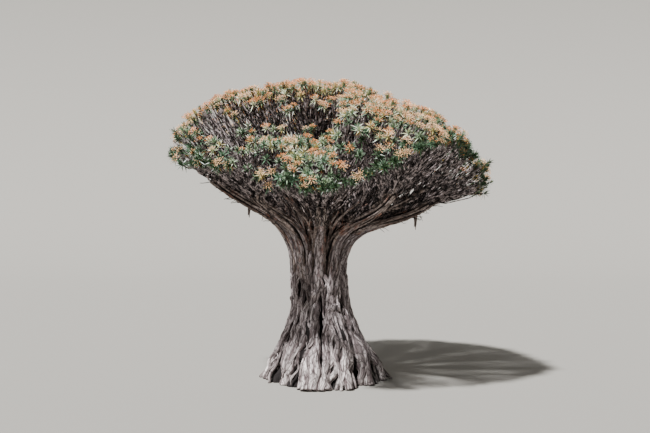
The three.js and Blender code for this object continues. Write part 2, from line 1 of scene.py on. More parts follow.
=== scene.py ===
"""Looks of an old dragon tree.

A stout trunk of fused cords, long bare boughs, and a wide umbrella crown whose twigs all end in
rosettes of sword-shaped leaves, many of them under a panicle of fruit. Metres, +Z up; the origin
is the middle of the trunk's flat cut, azimuths count from +X towards +Y, and -Y is the front.
"""

import itertools
import logging
import math
from dataclasses import dataclass, field
from enum import Enum
from typing import Any, Sequence

import bpy
import numpy as np
from mathutils import Euler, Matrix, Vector


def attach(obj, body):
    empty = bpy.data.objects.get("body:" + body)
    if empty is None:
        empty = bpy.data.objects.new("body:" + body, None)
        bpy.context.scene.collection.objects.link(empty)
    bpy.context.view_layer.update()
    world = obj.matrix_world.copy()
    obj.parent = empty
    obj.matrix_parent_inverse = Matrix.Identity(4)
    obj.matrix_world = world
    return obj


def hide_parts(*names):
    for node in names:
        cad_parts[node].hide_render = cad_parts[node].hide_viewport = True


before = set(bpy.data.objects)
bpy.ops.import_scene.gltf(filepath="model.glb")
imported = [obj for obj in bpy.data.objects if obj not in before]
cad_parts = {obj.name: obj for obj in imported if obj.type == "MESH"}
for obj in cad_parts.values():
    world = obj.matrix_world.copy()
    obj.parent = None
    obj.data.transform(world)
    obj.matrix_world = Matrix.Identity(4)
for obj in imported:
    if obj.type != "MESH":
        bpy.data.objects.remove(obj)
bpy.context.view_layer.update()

SEED = 1438
GOLDEN_SHARE = 0.618034
UP = np.array([0.0, 0.0, 1.0])
RADIUS_NAME = "limb_radius"
HEADING_NAME = "heading"
GRAIN_NAME = "grain"
# The attribute that carries painted shade, darkest in grooves, slots and under the fork
PAINTED_SHADE_NAME = "hollow"

Points = np.ndarray
Faces = Sequence[Sequence[int]]
Skin = tuple[Points, Points, Points, list]  # points, grain vectors, painted shade from 0 to 1 that is darkest in the hollows, and faces


def mix(low: Any, high: Any, share: Any) -> Any:
    """Gives what lies a share of the way from low to high."""
    return low + (high - low) * share


def ramp(value: Any, low: float, high: float) -> Any:
    """Gives 0 below low, 1 above high, and a smooth step between."""
    share = np.clip((value - low) / (high - low), 0, 1)
    return share * share * (3 - 2 * share)


def jitter(index: Any, stream: int = 0) -> Any:
    """Gives a number from -0.5 to 0.5 that differs from one index to the next."""
    return ((index + 1) * (GOLDEN_SHARE + 0.1307 * stream)) % 1 - 0.5


def unit(vectors: Points) -> Points:
    """Gives vectors of length 1 in the same directions."""
    return vectors / np.maximum(np.linalg.norm(vectors, axis=-1, keepdims=True), 1e-9)


def polar(azimuth: Any, radius: Any, height: Any) -> Points:
    """Gives the point at an azimuth in radians, a distance from the axis and a height."""
    return np.stack(np.broadcast_arrays(
        np.cos(azimuth) * radius, np.sin(azimuth) * radius, height), axis=-1).astype(float)


def wrapped(angle: Any) -> Any:
    """Gives an angle in radians as one from minus half a turn to half a turn."""
    return (angle + math.pi) % (2 * math.pi) - math.pi


def band(value: Any, opening: tuple[float, float], closing: tuple[float, float]) -> Any:
    """Gives 1 between two levels and 0 beyond them, with a smooth step at each."""
    return ramp(value, *opening) * (1 - ramp(value, *closing))


def noise_path(run: Points, number: float) -> Points:
    """Gives places for noise along a line, apart from those of lines with other numbers."""
    return np.stack([run, np.full_like(run, number), np.zeros_like(run)], 1)


def value_noise(points: Points, seed: int) -> Points:
    """Makes smooth noise whose bumps are about one unit apart.

    Args:
        points: where it is wanted, n by 3.
        seed: picks one noise among many.

    Returns:
        n numbers from -1 to 1.
    """
    cell = np.floor(points).astype(np.int64)
    share = points - cell
    share = share * share * (3 - 2 * share)
    total = np.zeros(len(points))
    # The large primes only scramble the numbers of a cell into a number that looks random
    for corner in itertools.product((0, 1), repeat=3):
        key = (cell + corner) * (73856093, 19349663, 83492791)
        mixed = (key[:, 0] ^ key[:, 1] ^ key[:, 2] ^ (seed * 40503)) & 0x7FFFFFFF
        mixed = ((mixed ^ (mixed >> 13)) * 1274126177) & 0x7FFFFFFF
        mixed = ((mixed ^ (mixed >> 15)) * 668265263) & 0x7FFFFFFF
        weight = np.prod(np.where(corner, share, 1 - share), axis=1)
        total += weight * ((mixed >> 7) % 65536 / 32767.5 - 1)
    return total


def linear(hex_colour: str) -> tuple[float, float, float, float]:
    """Turns an sRGB colour such as #7a6e70 into linear red, green, blue and alpha.

    Args:
        hex_colour: the colour.

    Returns:
        The four numbers.
    """
    shares = [int(hex_colour[k:k + 2], 16) / 255 for k in (1, 3, 5)]
    lit = [s / 12.92 if s <= 0.04045 else ((s + 0.055) / 1.055) ** 2.4 for s in shares]
    return lit[0], lit[1], lit[2], 1.0


def add_node(tree: bpy.types.NodeTree, kind: str, inputs: dict[Any, Any] | None = None,
             **settings: Any) -> bpy.types.Node:
    """Adds a node to a tree with its settings and links.

    Args:
        tree: the node tree.
        kind: the node's type name.
        inputs: sockets by name or number, each with a value or with the socket that feeds it.
        **settings: the node's own properties.

    Returns:
        The node.
    """
    node = tree.nodes.new(kind)
    for name, value in settings.items():
        setattr(node, name, value)
    for key, value in (inputs or {}).items():
        if isinstance(value, bpy.types.NodeSocket):
            tree.links.new(value, node.inputs[key])
        else:
            node.inputs[key].default_value = value
    return node


def link_object(name: str, mesh: bpy.types.Mesh) -> bpy.types.Object:
    """Puts a mesh into the scene as an object at the origin.

    Args:
        name: the object's name.
        mesh: its mesh.

    Returns:
        The object.
    """
    thing = bpy.data.objects.new(name, mesh)
    bpy.context.scene.collection.objects.link(thing)
    return thing


def mesh_object(name: str, points: Points, faces: Faces, smooth: bool = True) -> bpy.types.Object:
    """Makes an object of points and faces.

    Args:
        name: the object's name.
        points: n by 3, in metres.
        faces: the numbers of each face's points, anticlockwise seen from outside.
        smooth: whether its shading runs on from face to face.

    Returns:
        The object.
    """
    mesh = bpy.data.meshes.new(name)
    mesh.from_pydata(np.asarray(points).tolist(), [], [list(map(int, face)) for face in faces])
    mesh.polygons.foreach_set("use_smooth", [smooth] * len(mesh.polygons))
    mesh.update()
    return link_object(name, mesh)


def store(mesh: bpy.types.Mesh, name: str, kind: str, values: Points) -> None:
    """Stores one value for each point of a mesh.

    Args:
        mesh: the mesh.
        name: the attribute's name.
        kind: FLOAT or FLOAT_VECTOR.
        values: a number or a vector for each point.
    """
    layer = mesh.attributes.new(name, kind, "POINT")
    key = "value" if kind == "FLOAT" else "vector"
    layer.data.foreach_set(key, np.asarray(values, dtype=np.float32).ravel())


# The rule of the crown, as in the part's source


class Ring(Enum):
    """The rings of the crown's masses."""

    RIM = "rim"
    MID = "mid"
    TOP = "top"


@dataclass(frozen=True)
class RingPlan:
    """How the masses of one ring stand and how their boughs reach them."""

    ring: Ring
    count: int
    turn: float
    plan: float
    foot: float
    start: float
    lean: float
    entry: float
    climb: float
    rise: float | None
    radii: tuple[float, float]


RING_PLANS = (
    RingPlan(Ring.RIM, 10, 270, 7.1, 1.15, 6.25, 5, 0.7, 0.03, None, (0.345, 0.195)),
    RingPlan(Ring.MID, 7, 252, 4.1, 0.62, 6.5, 8, 0.26, 0.33, 52, (0.24, 0.165)),
    RingPlan(Ring.TOP, 3, 225, 1.45, 0.19, 6.7, 2, 0.26, 0.42, 76, (0.14, 0.14)),
)


@dataclass
class Canopy:
    """The crown's outline as functions of the azimuth."""

    height: float = 17.0
    reach: float = 9.15
    skew: float = 0.36
    wave: float = 0.14
    waves: int = 3
    wave_phase: float = 1.0
    rim_heights: tuple[tuple[float, float], ...] = (
        (-90, 10.9), (-42, 13.5), (4, 10.6), (60, 12.0), (115, 11.3), (180, 12.8), (228, 11.9),
    )
    tuck_depth: float = 2.6
    tuck_limits: tuple[float, float] = (math.radians(99), math.radians(111))
    bowl_foot: tuple[float, float] = (2.0, 8.8)
    bowl_curve: tuple[float, float] = (1.1, 2.4)
    terrace_drop: float = 3.0
    terrace_depths: tuple[float, float] = (1.7, 3.1)
    terrace_middle: float = -2.9
    terrace_half: float = 3.3
    terrace_fade: float = 1.1
    steep_weight: float = 3.3
    settled_facings: tuple[float, float] = (-0.2, 0.45)
    left_rise: float = 0.4
    left_span: tuple[float, float] = (3.0, 7.0)
    right_drop: float = 0.68
    right_span: tuple[float, float] = (1.0, 4.4)

    def reach_at(self, azimuth: Any) -> Any:
        """Gives the crown's radius in plan at an azimuth."""
        return (self.reach + self.skew * np.cos(azimuth)
                + self.wave * np.cos(self.waves * azimuth + self.wave_phase))

    def rim_height_at(self, azimuth: Any) -> Points:
        """Gives the height of the crown's widest level, eased between the stated azimuths.

        Args:
            azimuth: in radians.

        Returns:
            The heights.
        """
        degrees = (np.degrees(azimuth) + 90) % 360 - 90
        first = self.rim_heights[0]
        stations = [*self.rim_heights, (first[0] + 360, first[1])]
        height = np.zeros_like(np.asarray(degrees, dtype=float))
        for (near, low), (far, high) in itertools.pairwise(stations):
            here = (degrees >= near) & (degrees < far)
            height = np.where(here, mix(low, high, ramp(degrees, near, far)), height)
        return height

    def dome_top_at(self, x: Any, y: Any) -> Any:
        """Gives the height of the dome's top over a point in plan, lower over the front terrace.

        Args:
            x: the place in plan.
            y: the same.

        Returns:
            The heights.
        """
        depth = ramp(-y, *self.terrace_depths)
        away = np.abs(x - self.terrace_middle)
        width = 1 - ramp(away, self.terrace_half, self.terrace_half + self.terrace_fade)
        return self.height - self.terrace_drop * depth * width

    def surface(self, azimuth: Any, climb: Any, inset: Any) -> tuple[Points, Points]:
        """Gives points on the crown's outer surface, and which way the surface faces there.

        Args:
            azimuth: in radians.
            climb: 0 at the top, a right angle at the rim and more where the crown tucks in.
            inset: how far inside the surface the points lie.

        Returns:
            The points and the directions.
        """
        reach = self.reach_at(azimuth)
        rim = self.rim_height_at(azimuth)
        foot = polar(azimuth, reach * np.sin(climb), 0)
        dome = np.where(climb < math.pi / 2,
                        self.dome_top_at(foot[..., 0], foot[..., 1]) - rim, self.tuck_depth)
        normal = unit(polar(azimuth, np.sin(climb) / reach, np.cos(climb) / dome))
        foot[..., 2] = rim + dome * np.cos(climb)
        return foot - normal * np.asarray(inset)[..., None], normal

    def settled(self, points: Points, normals: Points) -> Points:
        """Lowers the canopy over the right shoulder and raises it a little over the left one.

        Args:
            points: places on the canopy.
            normals: which way it faces there.

        Returns:
            The new places.
        """
        x, upper = points[:, 0], ramp(normals[:, 2], *self.settled_facings)
        lift = (self.left_rise * ramp(-x, *self.left_span)
                - self.right_drop * ramp(x, *self.right_span))
        points = points.copy()
        points[:, 2] += lift * upper
        return points

    def underside_at(self, azimuth: float, radius: float) -> float:
        """Gives the height of the crown's bare underside.

        Args:
            azimuth: in radians.
            radius: distance from the axis.

        Returns:
            The height.
        """
        near, height = self.bowl_foot
        share = np.clip((radius - near) / (self.reach_at(azimuth) - near), 0, 1)
        curve = mix(*self.bowl_curve, (1 + math.cos(azimuth)) / 2)
        return float(mix(height, self.rim_height_at(azimuth), share ** curve))


@dataclass
class Mass:
    """One mass of the crown: its place in plan, its bough's line and the tips that it owns."""

    plan: RingPlan
    number: int
    azimuth: float
    tips: list[int] = field(init=False)
    line: Points = field(init=False)

    @property
    def name(self) -> str:
        """The name that its nodes end in."""
        return f"{self.plan.ring.value}_{self.number}"

    @property
    def middle(self) -> Points:
        """The middle of its space in plan."""
        return polar(self.azimuth, self.plan.plan, 0.0)


def make_masses() -> list[Mass]:
    """Makes the crown's masses, ring by ring."""
    return [Mass(plan, k + 1, math.radians(plan.turn + k * 360 / plan.count))
            for plan in RING_PLANS for k in range(plan.count)]


def bezier(corners: Sequence[Points], shares: Points) -> Points:
    """Gives points on a cubic Bezier curve.

    Args:
        corners: its four corners.
        shares: how far along it they lie, from 0 to 1.

    Returns:
        The points.
    """
    near, out, back, far = corners
    t = shares[:, None]
    return ((1 - t) ** 3 * near + 3 * (1 - t) ** 2 * t * out
            + 3 * (1 - t) * t ** 2 * back + t ** 3 * far)


def headings_of(line: Points) -> Points:
    """Gives the direction of a line at each of its points."""
    return unit(np.gradient(line, axis=0))


def frames_along(line: Points) -> tuple[Points, Points]:
    """Gives two directions square to a line at each point, carried along it without a twist.

    Args:
        line: its points.

    Returns:
        The two directions.
    """
    along = headings_of(line)
    side = np.cross(along[0], UP)
    if np.linalg.norm(side) < 1e-3:
        side = np.array([0.0, 1.0, 0.0])
    across = np.zeros_like(along)
    for k, heading in enumerate(along):
        side = side - heading * np.dot(side, heading)
        side = side / np.linalg.norm(side)
        across[k] = side
    return across, np.cross(along, across)


def line_round(line: Points, turn: Points, away: Points) -> Points:
    """Gives a line that runs beside or round another one.

    Args:
        line: the line that it goes with.
        turn: on which side of it the new line lies at each point, in radians.
        away: how far off it lies at each point.

    Returns:
        The new line.
    """
    across, over = frames_along(line)
    return line + (over * np.cos(turn)[:, None] + across * np.sin(turn)[:, None]) * away[:, None]


def closed_faces(rows: int, count: int) -> list[list[int]]:
    """Gives the faces of a closed tube.

    Args:
        rows: how many rings of points it has.
        count: how many points each ring has.

    Returns:
        The numbers of each face's points, with a cap on each end.
    """
    faces = [[row * count + k, row * count + (k + 1) % count,
              (row + 1) * count + (k + 1) % count, (row + 1) * count + k]
             for row in range(rows - 1) for k in range(count)]
    faces.append(list(range(count))[::-1])
    faces.append(list(range((rows - 1) * count, rows * count)))
    return faces


# Trunk and boughs


@dataclass(frozen=True)
class Slot:
    """A long hollow in the trunk, or a swelling where its depth is negative."""

    azimuth: float
    low: float
    high: float
    widths: tuple[float, float]
    depth: float
    lean: float = 0.0
    fade: float = 0.3
    edge: float = 0.05
    flatness: float = 0.7

    def middle_at(self, height: Points) -> tuple[Points, Points]:
        """Gives how far up it a height lies, from 0 to 1, and the azimuth of its middle there."""
        share = np.clip((height - self.low) / (self.high - self.low), 0, 1)
        return share, math.radians(self.azimuth) + math.radians(self.lean) * (share - 0.5)

    def depth_at(self, azimuth: Points, height: Points, radius: Points) -> Points:
        """Gives how far the trunk's surface is set back.

        Args:
            azimuth: in radians.
            height: above the ground.
            radius: of the trunk there.

        Returns:
            The depths.
        """
        share, middle = self.middle_at(height)
        aside = wrapped(azimuth - middle)
        across = np.clip(1 - (aside * radius / mix(*self.widths, share)) ** 2, 0, 1)
        fade = self.fade * (self.high - self.low)
        ends = band(height, (self.low - self.edge, self.low + fade),
                    (self.high - fade, self.high + self.edge))
        return self.depth * across ** self.flatness * ends


@dataclass(frozen=True)
class Tube:
    """A limb of fused cords round a line: strands that wander along it, with grooves between."""

    sides: int = 24
    strands: int = 7
    relief: float = 0.34
    knots: float = 0.08
    grain_stretch: float = 0.12
    floor: float = 0.74  # where the grooves between strands end, of the radius
    level: float = 0.92  # the mean of its outline, which keeps to the radius
    deepest: tuple[float, float] = (0.22, 0.24)  # of a groove, for its painted shade and for its relief
    wander: float = 0.55  # radians that a strand strays by
    twist: float = 0.1  # radians to the metre
    widths: tuple[float, float] = (1.1, 0.5)  # of a strand against its spacing, and their spread
    sinking: float = 0.9  # how far a strand lies in, of its width
    bumps: tuple[float, float] = (3.2, 8.0)  # large and small ones to the metre
    small_bumps: float = 0.6  # their height against the large ones

    def skin(self, line: Points, radii: Points, seed: int) -> Skin:
        """Builds the tube's closed skin.

        Args:
            line: its middle line.
            radii: its radius at each point of the line.
            seed: picks its strands.

        Returns:
            Its points, its grain vectors, its painted shade from 0 to 1, darkest deep in its
            grooves, and its faces.
        """
        across, over = frames_along(line)
        run = np.concatenate([[0], np.cumsum(np.linalg.norm(np.diff(line, axis=0), axis=1))])
        turn = np.arange(self.sides) / self.sides * 2 * math.pi
        turns, runs = np.meshgrid(turn, run)
        thick = np.broadcast_to(radii[:, None], turns.shape)
        outline = np.full(turns.shape, self.floor)
        for strand in range(self.strands):
            key = noise_path(run * 0.5, strand * 7.3) + (0, 0, 1.5)
            wander = self.wander * value_noise(key, seed)
            middle = (strand + 0.5 * jitter(strand, seed % 5)) / self.strands * 2 * math.pi
            aside = turns - (middle + wander + self.twist * run)[:, None]
            width = math.pi / self.strands * (self.widths[0] + self.widths[1] * jitter(strand, 3))
            distance = 1 - width * self.sinking
            off = distance * np.sin(aside)
            inside = (np.cos(aside) > 0) & (np.abs(off) < width)
            bulge = distance * np.cos(aside) + np.sqrt(np.clip(width ** 2 - off ** 2, 0, None))
            outline = np.where(inside, np.maximum(outline, bulge), outline)
        # Painted shade: the deeper a point lies in a groove between strands, the darker it is
        hollow = ramp(1 - outline, 0.0, self.deepest[0])
        outline = 1 + (outline - self.level) * self.relief / self.deepest[1]
        points = (line[:, None] + across[:, None] * (np.cos(turns) * thick * outline)[..., None]
                  + over[:, None] * (np.sin(turns) * thick * outline)[..., None])
        flat = points.reshape(-1, 3)
        large, small = self.bumps
        bumps = value_noise(flat * large, seed + 1)
        bumps = bumps + self.small_bumps * value_noise(flat * small, seed + 2)
        out = unit(flat - np.repeat(line, self.sides, axis=0))
        flat = flat + out * (bumps * self.knots * thick.ravel())[:, None]
        grain = np.stack([np.cos(turns) * thick, np.sin(turns) * thick,
                          runs * self.grain_stretch + seed * 3.7], -1).reshape(-1, 3)
        return flat, grain, hollow.ravel(), closed_faces(len(line), self.sides)


@dataclass
class Skins:
    """Gathers skins that become one mesh."""

    points: list[Points] = field(default_factory=list)
    grain: list[Points] = field(default_factory=list)
    # painted shade from 0 to 1 at each point
    hollow: list[Points] = field(default_factory=list)
    faces: list[list[int]] = field(default_factory=list)
    count: int = 0

    def add(self, skin: Skin) -> None:
        """Adds one skin.

        Args:
            skin: the skin.
        """
        points, grain, hollow, faces = skin
        self.faces.extend([[index + self.count for index in face] for face in faces])
        self.points.append(points)
        self.grain.append(grain)
        self.hollow.append(hollow)
        self.count += len(points)

    def build(self, name: str) -> bpy.types.Object:
        """Makes the mesh, with its grain and its painted shade stored on its points.

        Args:
            name: the object's name.

        Returns:
            The object.
        """
        piece = mesh_object(name, np.concatenate(self.points), self.faces)
        store(piece.data, GRAIN_NAME, "FLOAT_VECTOR", np.concatenate(self.grain))
        store(piece.data, PAINTED_SHADE_NAME, "FLOAT", np.concatenate(self.hollow))
        return piece


@dataclass
class Trunk:
    """The trunk, from its flat cut over the root flare to the fork: strands over a core darkened
    with painted shade.
    """

    fork: float = 7.3
    waist: float = 1.54
    lean: float = -0.25
    root_spread: float = 2.05
    root_height: float = 4.2
    root_curve: float = 1.25
    head_spread: float = 0.17
    head_height: float = 1.5
    ribs: int = 11
    twist: float = math.radians(16)
    rib_width: tuple[float, float] = (0.84, 1.16)
    rib_spreads: tuple[float, float, float] = (0.5, 0.2, 0.3)  # in place, toe and width
    cleft_floor: float = 0.76
    head: tuple[tuple[float, float], ...] = ((7.33, 0.86), (7.43, 0.62), (7.5, 0.3))
    slots: tuple[Slot, ...] = (
        Slot(268, 1.2, 4.9, (0.42, 0.15), 0.6, -3),
        Slot(324, 3.9, 6.0, (0.15, 0.19), 0.45, 6),
        Slot(237, 4.3, 6.0, (0.17, 0.15), 0.35, -8),
        Slot(120, 0.9, 4.7, (0.4, 0.16), 0.5, 8),
        Slot(60, 3.7, 6.0, (0.16, 0.2), 0.42, -6),
        Slot(170, 4.0, 6.0, (0.17, 0.2), 0.42, 6),
        Slot(20, 0.9, 3.9, (0.34, 0.15), 0.4, -6),
        Slot(205, 0.3, 3.4, (0.34, 0.15), 0.35, 4),
        Slot(246, 2.0, 4.5, (0.62, 0.42), -0.2),
        Slot(300, 1.5, 4.5, (0.62, 0.42), -0.16),
        Slot(142, 1.9, 3.9, (0.56, 0.42), -0.18),
    )
    small_slots: tuple[Slot, ...] = (
        Slot(281, 5.0, 6.4, (0.1, 0.12), 0.22, 5),
        Slot(288, 6.2, 7.9, (0.12, 0.32), 0.6, 6),
        Slot(310, 0.0, 1.7, (0.3, 0.08), 0.3, 10),
        Slot(243, -0.3, 1.9, (0.22, 0.08), 0.3, -8),
    )
    core_recess: tuple[float, float] = (0.25, 0.36)
    core_points: int = 360
    core_levels: int = 86
    core_height: float = 7.1
    core_narrows: tuple[float, float] = (5.4, 6.8)
    core_bumps: tuple[float, float] = (0.05, 0.03)
    # Painted shade on the core: how dark it is all over, and how much darker in furrows, in slots
    # and under the fork
    core_painted_shade: tuple[float, float, float, float] = (0.35, 0.5, 0.4, 0.35)
    fork_shade: tuple[float, float] = (4.4, 6.0)
    fine_strands: int = 88
    fine_depth: float = 0.09
    fine_spread: float = 0.6
    fine_near: float = 3.2  # spacings within which a fine strand shapes the core
    fine_wander: tuple[float, float] = (1.25, 0.5)  # spacings that it strays by, widely and finely
    fine_size: tuple[float, float] = (0.6, 0.4)  # spacings that it is wide, and their spread
    grain_radius: float = 1.7
    grain_stretch: float = 0.12
    strands: int = 58
    strand_radii: tuple[float, float] = (0.17, 0.098)
    strand_spacing: float = 0.145
    strand_run: float = 9.6
    strand_wander: float = 2.7
    strand_weave: float = 0.18
    strand_spreads: tuple[float, float, float] = (0.7, 1.1, 0.4)  # in place, size and along it
    strand_sink: float = 0.8  # how deep a strand lies in the outline, of its radius
    parting: tuple[float, float] = (0.5, 0.3)  # metres outside and inside a slot's ends
    parting_near: tuple[float, float] = (1.2, 2.0)
    threads: int = 90
    thread_radius: float = 0.062
    thread_lengths: tuple[float, float] = (1.6, 4.2)
    thread_step: float = 0.12
    thread_spreads: tuple[float, float] = (0.8, 0.35)  # in size, and along it
    merge: tuple[float, float] = (5.3, 7.1)
    bough_clasp: float = math.radians(95)  # how far round its bough the outermost strand lies
    toe_reach: float = 0.3
    legs: tuple[tuple[float, float, float, float, float], ...] = (
        (240, 256, 0.7, 5.1, 0.46), (308, 296, 0.5, 4.4, 0.46), (136, 150, 0.7, 4.6, 0.44),
        (48, 40, 0.6, 4.0, 0.4), (196, 186, 0.7, 4.7, 0.38),
    )
    knots: tuple[tuple[float, float, float], ...] = (
        (257, 4.97, 0.25), (299, 4.17, 0.26), (75, 3.8, 0.28), (190, 4.6, 0.24),
        (308, 2.1, 0.16), (232, 3.1, 0.2), (150, 3.2, 0.22))
    knot_length: float = 2.1  # of its radius
    # how much of the painted shade in its grooves a burr keeps
    knot_painted_shade: float = 0.35
    knot_tube: Tube = Tube(sides=18, strands=5, relief=0.3, knots=0.2)
    strand_tube: Tube = Tube(sides=9, strands=3, relief=0.34, knots=0.2)
    leg_tube: Tube = Tube(sides=39, strands=13, relief=0.26, knots=0.1)
    thread_tube: Tube = Tube(sides=6, strands=3, relief=0.25, knots=0.12)

    def mean_radius(self, height: Any) -> Any:
        """Gives the trunk's mean radius at a height.

        Args:
            height: above the ground.

        Returns:
            The radius.
        """
        flare = self.root_spread * np.maximum(0, 1 - height / self.root_height) ** self.root_curve
        head = self.head_spread * ramp(height, self.fork - self.head_height, self.fork)
        return self.waist + flare + head

    def middle(self, height: Any) -> Any:
        """Gives the shift of the trunk's middle along X at a height."""
        return self.lean * (height / self.fork) ** 2

    def rib_azimuth(self, rib: int, height: Any) -> Any:
        """Gives the azimuth of one of the trunk's ribs at a height."""
        turn = (rib + self.rib_spreads[0] * jitter(rib)) * 2 * math.pi / self.ribs
        return turn + self.twist * height / self.fork

    def outline(self, azimuth: Points, height: Points) -> tuple[Points, Points]:
        """Gives the trunk's large forms, most of them as in the part's source.

        Args:
            azimuth: in radians.
            height: above the ground, as many as the azimuths.

        Returns:
            The radii, and how far each lies below the ribs' backs.
        """
        mean = self.mean_radius(height)
        rise = ramp(height, 0, self.root_height)
        width = mix(*self.rib_width, rise) * math.pi / self.ribs
        radius = mean * self.cleft_floor
        for rib in range(self.ribs):
            toe = 1 + self.rib_spreads[1] * jitter(rib, 2) * (1 - rise)
            thick = mean * width * (1 + self.rib_spreads[2] * jitter(rib, 1))
            distance = mean * toe - thick
            turn = azimuth - self.rib_azimuth(rib, height)
            aside = distance * np.sin(turn)
            near = (np.cos(turn) > 0) & (np.abs(aside) < thick)
            bulge = distance * np.cos(turn) + np.sqrt(np.clip(thick ** 2 - aside ** 2, 0, None))
            radius = np.where(near, np.maximum(radius, bulge), radius)
        below = mean - radius
        for slot in (*self.slots, *self.small_slots):
            gone = slot.depth_at(azimuth, height, mean)
            radius = radius - gone
            below = below + np.clip(gone, 0, None)
        return radius, below

    def fine_relief(self, azimuth: Points, height: Points) -> Points:
        """Gives how deep the core's surface lies between the backs of its fine strands.

        Args:
            azimuth: in radians.
            height: above the ground.

        Returns:
            Depths from 0 on a back to 1 in a furrow.
        """
        depth = np.ones_like(height)
        spacing = 2 * math.pi / self.fine_strands
        for strand in range(self.fine_strands):
            place = (strand + self.fine_spread * jitter(strand, 4)) * spacing
            middle = place + self.twist * height / self.fork
            near = np.abs(wrapped(azimuth - middle)) < self.fine_near * spacing
            key = noise_path(height[near] * 0.7, strand * 3.7)
            wander = spacing * (self.fine_wander[0] * value_noise(key, 12)
                                + self.fine_wander[1] * value_noise(key * 3.1, 13))
            aside = wrapped(azimuth[near] - middle[near] - wander)
            size = spacing * (self.fine_size[0] + self.fine_size[1] * jitter(strand, 5))
            back = 1 - np.sqrt(np.clip(1 - (aside / size) ** 2, 0, 1))
            depth[near] = np.minimum(depth[near], back)
        return depth

    def core(self) -> Skin:
        """Builds the core's skin, closed under the fork and at the flat cut.

        Returns:
            The skin.
        """
        share = np.linspace(0, 1, self.core_levels)
        heights = np.concatenate([self.core_height * share ** 1.1, [z for z, _ in self.head]])
        shrink = np.concatenate([np.ones(self.core_levels), [s for _, s in self.head]])
        turn = np.arange(self.core_points) / self.core_points * 2 * math.pi
        turns, levels = np.meshgrid(turn, heights)
        azimuth, height = turns.ravel(), levels.ravel()
        radius, below = self.outline(azimuth, height)
        depth = self.fine_relief(azimuth, height)
        recess = mix(*self.core_recess, ramp(height, *self.core_narrows))
        radius = radius - recess - self.fine_depth * depth
        place = polar(azimuth, self.mean_radius(height), height)
        large, small = self.core_bumps
        radius = radius + large * value_noise(place * 2, 26) + small * value_noise(place * 6, 27)
        points = polar(azimuth, radius * np.repeat(shrink, self.core_points), height)
        points[:, 0] += self.middle(height)
        grain = polar(azimuth, self.grain_radius, height * self.grain_stretch)
        # Painted shade: the recessed core is dark all over, darker in its fine furrows, in the
        # slots and under the fork
        dark, furrow, slot, shade = self.core_painted_shade
        hollow = (dark + furrow * depth + slot * ramp(below, 0.1, 0.5)
                  + shade * ramp(height, *self.fork_shade))
        faces = closed_faces(len(heights), self.core_points)
        return points, grain, np.clip(hollow, 0, 1), faces

    def parted(self, azimuth: Points, height: Points, thick: Points) -> Points:
        """Moves a strand aside so that it runs round the slots, on one side of each.

        Args:
            azimuth: the strand's, in radians.
            height: the strand's, above the ground.
            thick: its radius.

        Returns:
            The new azimuths.
        """
        mean = self.mean_radius(height)
        for slot in (*self.slots, *self.small_slots):
            if slot.depth < 0:
                continue
            share, middle = slot.middle_at(height)
            aside = wrapped(azimuth - middle) * mean
            inside = (height > slot.low) & (height < slot.high)
            side = 1.0 if aside[inside].mean() > 0 else -1.0
            wide = mix(*slot.widths, share) * 0.85 + thick * 0.5
            # A hyperbola eases the strand out to the slot's edge, more the nearer it runs
            pushed = side * (side * aside + np.sqrt(aside ** 2 + 4 * (wide * 0.8) ** 2)) / 2
            early, late = self.parting
            reach = band(height, (slot.low - early, slot.low + late),
                         (slot.high - late, slot.high + early))
            near = 1 - ramp(np.abs(aside), *self.parting_near)
            azimuth = azimuth + (pushed - aside) * reach * near / mean
        return azimuth

    def strand(self, number: int, masses: Sequence[Mass]) -> tuple[Points, Points]:
        """Lays one strand from the ground up the trunk and on along a bough of the rim.

        Args:
            number: which strand it is.
            masses: the masses of the rim, each with its bough's line.

        Returns:
            Its line, and its radius at each point.
        """
        share = np.linspace(0, 1, int(self.strand_run / self.strand_spacing))
        low = self.root_height * 2 * share ** 1.25
        height = low[low < self.merge[1]]
        spacing = 2 * math.pi / self.strands
        key = noise_path(height * 0.42, number * 2.7)
        wander = value_noise(key, 41) + 0.4 * value_noise(key * 2.7, 42)
        apart, sizes, swelling = self.strand_spreads
        azimuth = (number + apart * jitter(number, 1)) * spacing + self.twist * height / self.fork
        azimuth = azimuth + self.strand_wander * spacing * wander
        size = 1 + sizes * jitter(number, 2)
        thick = size * mix(*self.strand_radii, ramp(height, 0, 4))
        thick = thick * (1 + swelling * value_noise(key * 4, 43))
        azimuth = self.parted(azimuth, height, thick)
        radius, _ = self.outline(azimuth, height)
        weave = self.strand_weave * value_noise(key * 2.2 + 5, 44)
        toe = self.toe_reach * jitter(number, 7) * np.clip(1 - height / 0.9, 0, 1) ** 2
        trunk_line = polar(azimuth, radius - thick * self.strand_sink + weave + toe, height)
        trunk_line[:, 0] += self.middle(height)
        turns = [wrapped(azimuth[-1] - mass.azimuth) for mass in masses]
        nearest = int(np.argmin(np.abs(turns)))
        mass, aside = masses[nearest], turns[nearest]
        line, along = mass.line, np.linspace(0, 1, len(mass.line))
        around = -aside / (math.pi / len(masses)) * self.bough_clasp + 0.5 * jitter(number, 3)
        ride = 1 - 0.5 * ramp(along, 0.3, 0.9 + 0.4 * jitter(number, 4))
        turn = around + 0.8 * along * 2 * jitter(number, 5)
        shell = line_round(line, turn, mix(*mass.plan.radii, along) * ride)
        at = np.interp(height, shell[:, 2], np.arange(len(line)))
        beside = np.stack(
            [np.interp(at, np.arange(len(line)), shell[:, axis]) for axis in range(3)], 1)
        beside[:, 2] = height
        blend = ramp(height, *self.merge)[:, None]
        lower = mix(trunk_line, beside, blend)
        first = int(at[-1]) + 1
        length = int(len(line) * (0.62 + 0.5 * jitter(number, 6)))
        upper = shell[first:first + length:2]
        fade = np.linspace(1, 0.35, len(upper))
        return np.concatenate([lower, upper]), np.concatenate([thick, thick[-1] * fade])

